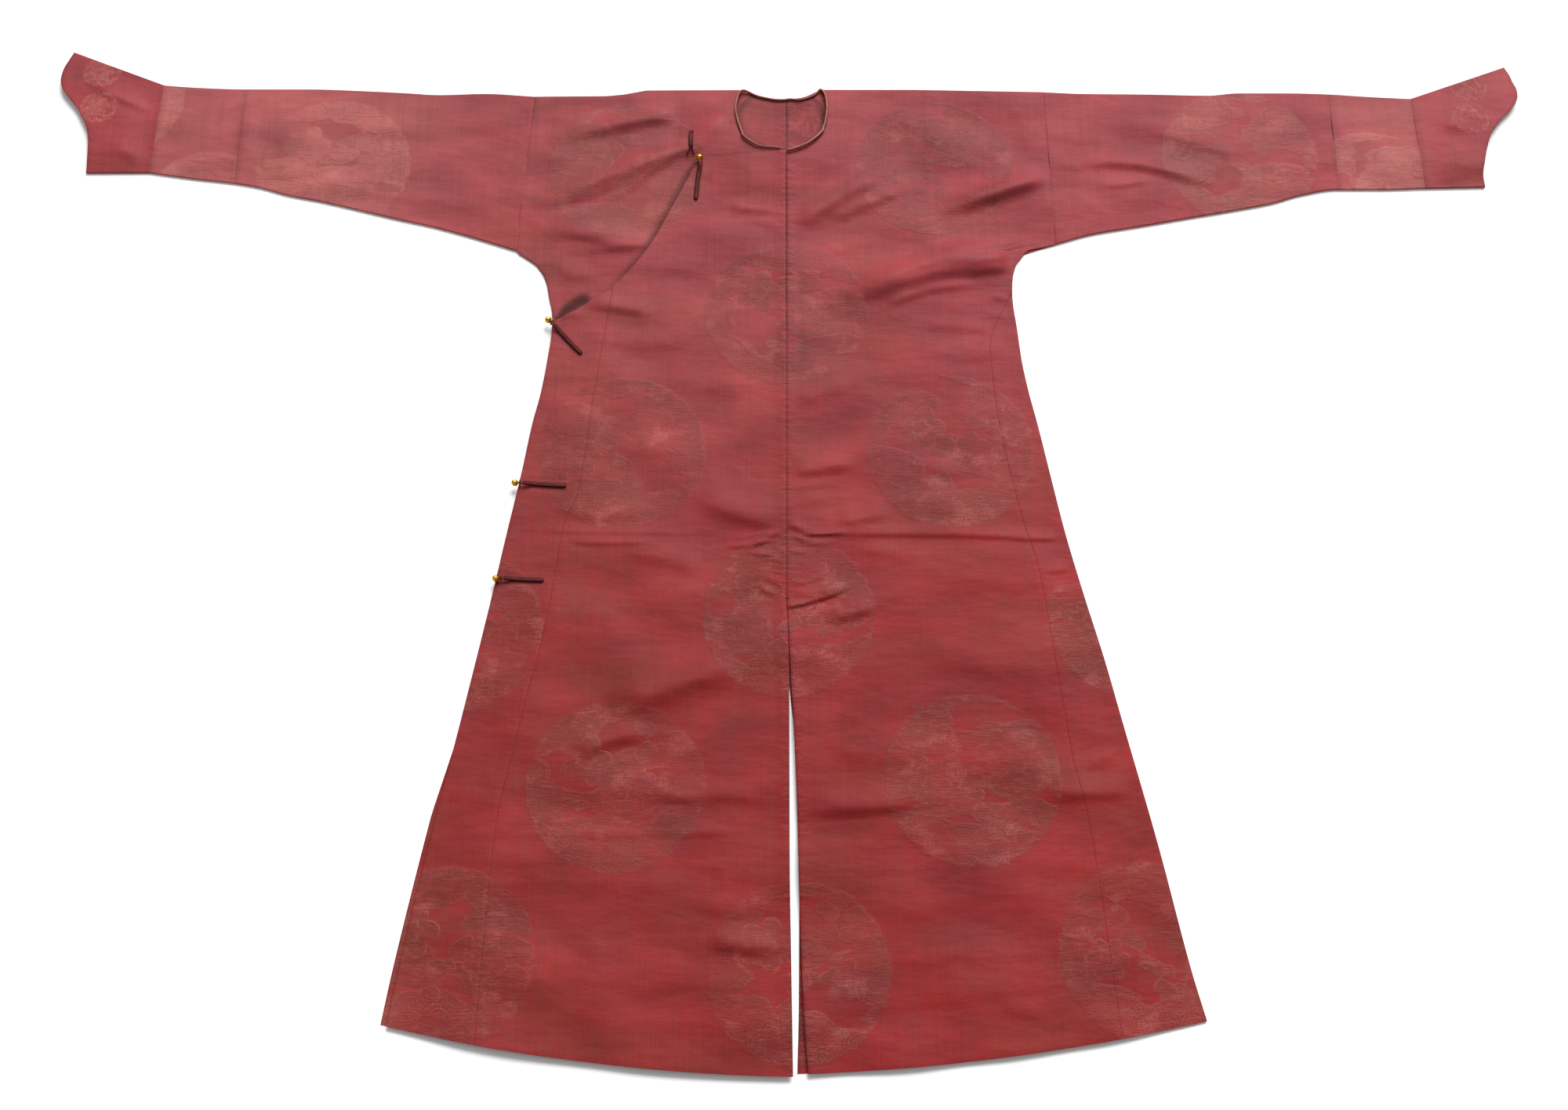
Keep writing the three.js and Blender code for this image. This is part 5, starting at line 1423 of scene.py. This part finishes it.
def waves(look, x, y, seed):  # rows of scalloped waves at the foot
    level = look.noise(look.vector(x * 2.0, seed), 1.0, 1.0)
    row = y * 8.0
    number = row.maths("FLOOR")
    share = row - number
    across = (x * 4.0 + (number * 0.5).maths("FRACT")).maths("FRACT") - 0.5
    arc = (across * across * 3.4 + share * share * 0.8).maths("SQRT")
    line = ((arc * 3.2).maths("FRACT") - 0.5).maths("ABSOLUTE").smooth(0.24, 0.08)
    fill = (y + (level - 0.5) * 0.7).smooth(-0.50, -0.55)
    return fill, line * fill


def cuffFigure(look, x, y, disc):  # a small flower medallion
    flower = petals(x, y, (0.0, 0.0), 6, 0.60, 0.36)
    scroll = petals(x, y, (0.0, 0.0), 14, 0.97, 0.14)
    line = (flower - 0.95).maths("ABSOLUTE").smooth(0.13, 0.05)
    line = line.most((flower - 0.34).maths("ABSOLUTE").smooth(0.12, 0.05))
    line = line.most((scroll - 0.93).maths("ABSOLUTE").smooth(0.07, 0.02))
    leafy = look.noise(look.vector(x * 2.9, y * 2.9, 3.0), 1.0, 2.0, 0.6)
    line = line.most((leafy - 0.5).maths("ABSOLUTE").smooth(0.05, 0.015))
    return flower.smooth(1.0, 0.9).most(leafy.smooth(0.50, 0.56)) * disc, line * disc


def silkGround(look, settings, out, down):  # pinker at the shoulders, redder towards the hem, with blotches
    drift = look.noise(look.vector(out * 2.2, down * 1.4), 1.0, 2.0) - 0.5
    ground = look.colours((down + drift * 0.5).smooth(0.1, 1.0), settings["upper"], settings["lower"])
    for colour, acrossGrain, downGrain, seed, detail, roughness, low, high, amount in blotches:
        spots = look.noise(look.vector(out * acrossGrain, down * downGrain, seed), 1.0, detail, roughness)
        ground = look.colours(spots.smooth(low, high) * amount, ground, settings[colour])
    return ground


def paledPlaces(look, settings, ground, out, down):  # paler on the right sleeve, the right half and the left band
    rightSleeve = out.smooth(-0.40, -0.58) * 0.20
    rightHalf = out.smooth(0.1, -0.3) * (0.03 + down.smooth(0.8, 0.5) * 0.028)
    leftBand = out.smooth(0.72, 0.80) * 0.16
    return look.colours(rightSleeve + rightHalf + leftBand, ground, settings["pale"])


def roundelFigure(look, x, y, seed, cuff):  # figured more at the rim than inside: fill, and drawn lines
    away = (x * x + y * y).maths("SQRT")
    wobble = look.noise(look.vector(x * 5.0, y * 9.0, seed), 1.0, 4.0, 0.65)
    shaped = away + (wobble - 0.5) * 0.13
    disc = shaped.smooth(1.0, 0.95)
    if cuff:
        return cuffFigure(look, x, y, disc)
    rim = (shaped - 0.965).maths("ABSOLUTE").smooth(0.03, 0.008)
    rimShown = look.noise(look.vector(x * 1.8, y * 1.8, seed + 9.0), 1.0, 1.0).smooth(0.46, 0.62) * 0.4
    ragged = (look.noise(look.vector(x * 11.0, y * 26.0, seed + 4.0), 1.0, 3.0, 0.65) - 0.5) * 0.22
    flowerFill, flowerLine = flowers(look, x, y)
    cloudFill, cloudLine = clouds(look, x, y, seed, away, ragged)
    waveFill, waveLine = waves(look, x, y, seed)
    bare = 1.0 - flowerFill
    fill = flowerFill.most(cloudFill.most(waveFill)) * disc
    line = flowerLine.most(cloudLine * bare * 0.6).most(waveLine * bare) * disc
    return fill, line.most(rim * rimShown)


def wovenFigure(look, settings, ground, place, x, y, seed, crepe, fill, line):
    out, down = place
    fleck = look.noise(look.vector(x * 22.0, y * 34.0, seed + 5.0), 1.0, 3.0, 0.6)
    sheenPatchesAt = look.noise(look.vector(x * 2.3 + seed, y * 3.0, 5.0), 1.0, 3.0, 0.55)
    worn = look.noise(look.vector(x * 3.1, y * 3.7 + seed, 11.0), 1.0, 3.0, 0.6).smooth(0.30, 0.62)
    threads = look.noise(look.vector(x * 120.0, y * 14.0, seed + 2.0), 1.0, 2.0, 0.6)
    fade = look.noise(look.vector(x * 1.2, y * 1.2, seed + 20.0), 1.0, 2.0, 0.5).smooth(0.30, 0.60)
    patchy = crepe.smooth(0.30, 0.58) * 0.45 + fleck.smooth(0.32, 0.62) * 0.35
    patchy = patchy + threads.smooth(0.35, 0.65) * 0.3
    patchy = patchy * (worn * 0.5 + 0.5) * (fade * 0.7 + 0.3)
    light = out.smooth(-0.42, -0.52) * 0.66 + out.smooth(-0.10, -0.25) * down.smooth(0.36, 0.26) * 0.25
    light = (light + out.smooth(0.45, 0.55) * 0.3 + out.smooth(0.70, 0.74) * 0.42).least(1.0)
    patch = look.colours(light, settings["patch"], settings["lightPatch"])
    patterned = look.colours(fill * patchy * settings["figure"], ground, patch)
    # painted sheen: lighter lustre patches on the figures, weaker towards the hem
    bright = sheenPatchesAt.smooth(0.52, 0.66) * (crepe.smooth(0.38, 0.60) * 0.4 + threads.smooth(0.4, 0.65) * 0.6)
    bright = bright * (0.72 - down.smooth(0.6, 1.1) * 0.26)
    patterned = look.colours(fill * bright, patterned, settings["paintedSheen"])
    # painted highlight on the tops of the crepe crinkles
    crepeHighlight = crepe.smooth(0.50, 0.64) * fade
    patterned = look.colours(fill * crepeHighlight * 0.24, patterned, settings["paintedSheen"])
    drawn = line * (worn * 0.24 + 0.05) * fleck.smooth(0.3, 0.65) * (fade * 0.6 + 0.4) * (1.0 + light * 1.2)
    return look.colours(drawn, patterned, settings["tan"])


def threadToneAndPaintedLight(look, out, down):  # warp and weft, slow patches, a lighter place beside the vent's top, and painted light, brighter towards the wearer's left
    warp = look.noise(look.vector(out * 720.0, down * 9.0), 1.0, 3.0, 0.7)
    weft = look.noise(look.vector(out * 26.0, down * 820.0, 3.0), 1.0, 3.0, 0.7)
    broad = look.noise(look.vector(out * 8.0, down * 15.0, 2.0), 1.0, 4.0, 0.55, 0.3)
    # painted light: brighter towards the wearer's left, where the light is stronger
    tone = 0.96 + out.smooth(-0.95, 0.95) * 0.12
    tone = tone + out.smooth(0.03, 0.10) * down.smooth(0.70, 0.73) * down.smooth(0.83, 0.77) * 0.13
    tone = tone + (warp - 0.5) * 0.48 + (weft - 0.5) * 0.24 + (broad - 0.5) * 1.1
    return look.vector(tone, tone, tone)


def markAt(distance, mark):  # 1 where the mark is full
    return distance.smooth(mark["gone"], mark["full"])


def seamLinesAndShade(look, out, down, fromEdge, along, centre):  # seam marks, strong at the centre and along the flap's edge, plus painted shade inside the neck and a painted shadow beside the bands
    width = out.maths("ABSOLUTE")
    onBands = width.smooth(0.70, 0.71)
    flapTop = width.smooth(0.235, 0.20) * down.smooth(0.395, 0.385) * down.smooth(0.09, 0.10)
    flapTop = flapTop * out.smooth(0.0, -0.002)
    stitches = look.noise(look.vector(along * 230.0, 2.0), 1.0, 3.0, 0.7).smooth(0.36, 0.62)
    strength = look.noise(look.vector(along * 14.0, 6.0), 1.0, 3.0, 0.6).smooth(0.28, 0.66) * 0.5 + 0.5

    line, ladder, solid = seamMarks["line"], seamMarks["ladder"], seamMarks["solid"]
    rungs = markAt(fromEdge, ladder) * out.smooth(-0.001, 0.0) * stitches * ladder["dark"]
    marks = (markAt(fromEdge, line) * line["dark"]).most(rungs) * centre * strength
    aboveWaist = markAt(fromEdge, solid) * down.smooth(0.46, 0.38)
    marks = marks.most(aboveWaist * (strength * solid["dark"] + solid["least"]) * centre)

    tack, plain, shadow = seamMarks["tack"], seamMarks["plain"], seamMarks["shadow"]
    tackOut, tackDown = out - tack["out"], down - tack["down"]
    fromTack = (tackOut * tackOut + tackDown * tackDown).maths("SQRT")
    marks = marks.most(markAt(fromTack, tack) * centre * tack["dark"])
    faint = out.smooth(0.0, -0.01) * plain["right"] + plain["least"] + onBands * plain["bands"]
    marks = marks.most(markAt(fromEdge, plain) * (flapTop * plain["flapTop"] + faint))
    marks = marks.most(markAt(fromEdge, shadow) * onBands * shadow["dark"])

    hem = seamMarks["hem"]
    hemStitch = markAt((along - hem["along"]).maths("ABSOLUTE"), hem)
    hemStitch = hemStitch * look.noise(look.vector(out * 170.0, 4.0), 1.0, 1.0).smooth(0.46, 0.58)
    marks = marks.most(hemStitch * hem["dark"])
    across = (out - neckShadeOval["out"]) / neckShadeOval["across"]
    beside = (down - neckShadeOval["down"]) / neckShadeOval["along"]
    neckAway = (across * across + beside * beside).maths("SQRT")  # 1 at the neck's edge
    # painted shade on the back cloth inside the neck's sides, where the raised front shades it
    neckShadeRing = neckAway.smooth(0.80, 0.98) * neckAway.smooth(1.04, 1.0) * width.smooth(0.02, 0.04)
    return marks.most(neckShadeRing * neckShadeOval["dark"])


def silkRelief(look, settings, out, down, fromEdge, along, centre, crepe, fill):
    weave = look.noise(look.vector(out * 900.0, down * 240.0, 1.0), 1.0, 2.0, 0.6)
    weave = weave + look.noise(look.vector(out * 180.0, down * 1000.0, 4.0), 1.0, 2.0, 0.6)
    wrinkle = look.noise(look.vector(out * 16.0, down * 95.0, 6.0), 1.0, 3.0, 0.55, 0.6)
    slow = look.noise(look.vector(out * 13.0, down * 26.0, 9.0), 1.0, 3.0, 0.5)
    puckerAt = look.noise(look.vector(along * 95.0, fromEdge * 40.0, 8.0), 1.0, 3.0, 0.6, 0.5)
    pucker = puckerAt * fromEdge.smooth(0.020, 0.001) * (centre + 0.45)
    look.bump(weave * 0.06 + wrinkle * 0.16 + slow * 2.2 + crepe * fill * 0.42 + pucker, settings["bump"])
    look.set(Roughness=settings["roughness"] - fill * 0.08 + (wrinkle - 0.5) * 0.1)


def silk(name, settings, cuff=False):
    look = Look(name)
    out, down = look.layer("place")
    fromEdge, along = look.layer("seams")
    x, y = look.layer("roundel")
    kind, shade = look.layer("kind")
    centre = out.maths("ABSOLUTE").smooth(0.034, 0.030) * down.smooth(0.0, 0.01)
    ground = silkGround(look, settings, out, down)
    if not cuff:
        ground = paledPlaces(look, settings, ground, out, down)
    seed = kind * 97.0
    crepe = look.noise(look.vector(x * 9.0, y * 62.0, seed), 1.0, 4.0, 0.65, 0.4)
    fill, line = roundelFigure(look, x, y, seed, cuff)
    patterned = wovenFigure(look, settings, ground, (out, down), x, y, seed, crepe, fill, line)
    toned = look.colours(1.0, patterned, threadToneAndPaintedLight(look, out, down), "MULTIPLY")
    # painted shade under the flap's edge and in the hollow at the second button
    toned = look.colours(shade * 0.9, toned, settings["hollowShade"])
    # stitch marks, with the painted neck shade and band shadow, in the stitch colour
    marks = seamLinesAndShade(look, out, down, fromEdge, along, centre)
    look.set(Base_Color=look.colours(marks, toned, settings["stitchAndShade"]))
    silkRelief(look, settings, out, down, fromEdge, along, centre, crepe, fill)
    look.set(Sheen_Weight=settings["sheen"], Sheen_Roughness=settings["sheenRoughness"],
             Sheen_Tint=settings["sheenTint"], Specular_IOR_Level=settings["specular"])
    return look.material


silkMaterial = silk("damaskSilk", silkLook)
cuffLook = dict(silkLook, upper=srgb(143, 56, 60), lower=srgb(140, 52, 56), tan=srgb(182, 112, 106),
                figure=0.5)
cuffMaterial = silk("cuffSilk", cuffLook, cuff=True)


# Cord colours: base, and light for the painted highlight along the top
strapLook = {"base": srgb(44, 12, 14), "light": srgb(98, 34, 34), "pitch": 900.0, "roughness": 0.5}
rollLook = {"base": srgb(112, 58, 52), "light": srgb(172, 112, 98), "pitch": 450.0, "roughness": 0.6}


def cordWithPaintedHighlight(name, settings):  # twisted cord, with a painted highlight along its top
    look = Look(name)
    along, around = look.layer("along")
    twist = ((along * settings["pitch"] + around * 2.0).maths("FRACT") - 0.5).maths("ABSOLUTE") * 2.0
    fibre = look.noise(look.vector(along * 2500.0, around * 30.0), 1.0, 2.0)
    tone = look.noise(look.vector(along * 70.0, around * 2.0, 3.0), 1.0, 2.0)
    # painted highlight: the top of the cord is lighter, where the light falls
    top = (around - 0.25).maths("ABSOLUTE").smooth(0.17, 0.06)
    light = (twist * 0.3 + tone.smooth(0.35, 0.7) * 0.4 + 0.3) * top
    colour = look.colours(light, settings["base"], settings["light"])
    look.set(Base_Color=colour, Roughness=settings["roughness"], Specular_IOR_Level=0.08)
    look.bump(twist * 0.8 + fibre * 0.25, 0.00025, 0.8)
    return look.material


cordMaterial = cordWithPaintedHighlight("strapCord", strapLook)
bindingMaterial = cordWithPaintedHighlight("neckRoll", rollLook)


giltLook = {"dull": srgb(150, 92, 18), "bright": srgb(240, 186, 66), "grain": 1400.0, "roughness": 0.16}


def giltMetal():
    look = Look("giltBrass")
    place = look.node("ShaderNodeNewGeometry").outputs["Position"]
    wear = look.noise(place, giltLook["grain"], 3.0, 0.6)
    colour = look.colours(wear.smooth(0.4, 0.65), giltLook["dull"], giltLook["bright"])
    look.set(Base_Color=colour, Metallic=1.0, Roughness=wear * 0.2 + giltLook["roughness"])
    look.bump(wear, 0.0002, 0.5)
    return look.material


giltMaterial = giltMetal()


def dress(piece, material):
    piece.data.materials.clear()
    piece.data.materials.append(material)


for piece in [bodyLeft, bodyRight, flapPiece] + gores + armPieces:
    dress(piece, silkMaterial)
for piece in cuffPieces:
    dress(piece, cuffMaterial)
for piece in gilt:
    dress(piece, giltMaterial)
dress(bindingPiece, bindingMaterial)
for piece in cords[1:]:
    dress(piece, cordMaterial)
print("materials dressed")


# Flat sizes, in metres: width, length and area of the cut
flatSizes = [
    (bodyLeft, (0.39, 2.85), 0.90, ["floor"]),
    (bodyRight, (0.38, 2.85), 0.87, ["floor"]),
    (flapPiece, (0.37, 1.32), 0.365, ["length_right"]),
    (gores[0], (0.12, 1.04), 0.063, ["gore_left_back"]),
    (gores[1], (0.12, 1.06), 0.063, ["floor"]),
    (gores[2], (0.11, 1.0), 0.062, ["gore_right_back"]),
    (gores[3], (0.11, 1.0), 0.065, ["floor"]),
    (gores[4], (0.12, 1.07), 0.078, ["gore_lap"]),
]
for piece, flatSize, area, under in flatSizes:
    held = [item for item in under if item != "floor"]


# Floor and light
studio = {"floor": srgb(251, 251, 251), "floorHalf": 12.0, "world": 0.46, "sun": 4.3,
          "sunTowards": (0.22, 0.71, 0.669), "sunAngle": 42.0}


def addFloor():
    mesh = bpy.data.meshes.new("floor")
    size = studio["floorHalf"]
    corners = [(-size, -size, 0), (size, -size, 0), (size, size, 0), (-size, size, 0)]
    mesh.from_pydata(corners, [], [(0, 1, 2, 3)])
    floor = bpy.data.objects.new("floor", mesh)
    bpy.context.scene.collection.objects.link(floor)
    look = Look("paleFloor")
    look.set(Base_Color=studio["floor"], Roughness=0.9, Specular_IOR_Level=0.1)
    mesh.materials.append(look.material)


def addSun():
    data = bpy.data.lights.new("sun", "SUN")
    data.energy = studio["sun"]
    data.angle = math.radians(studio["sunAngle"])
    lamp = bpy.data.objects.new("sun", data)
    lamp.rotation_euler = mathutils.Vector(studio["sunTowards"]).to_track_quat("Z", "Y").to_euler()
    bpy.context.scene.collection.objects.link(lamp)


addFloor()
addSun()
world = bpy.data.worlds.new("studio")
world.use_nodes = True
world.node_tree.nodes["Background"].inputs[0].default_value = (1.0, 1.0, 1.0, 1.0)
world.node_tree.nodes["Background"].inputs[1].default_value = studio["world"]
bpy.context.scene.world = world
bpy.context.scene.view_settings.view_transform = "Standard"
print("stage lit")
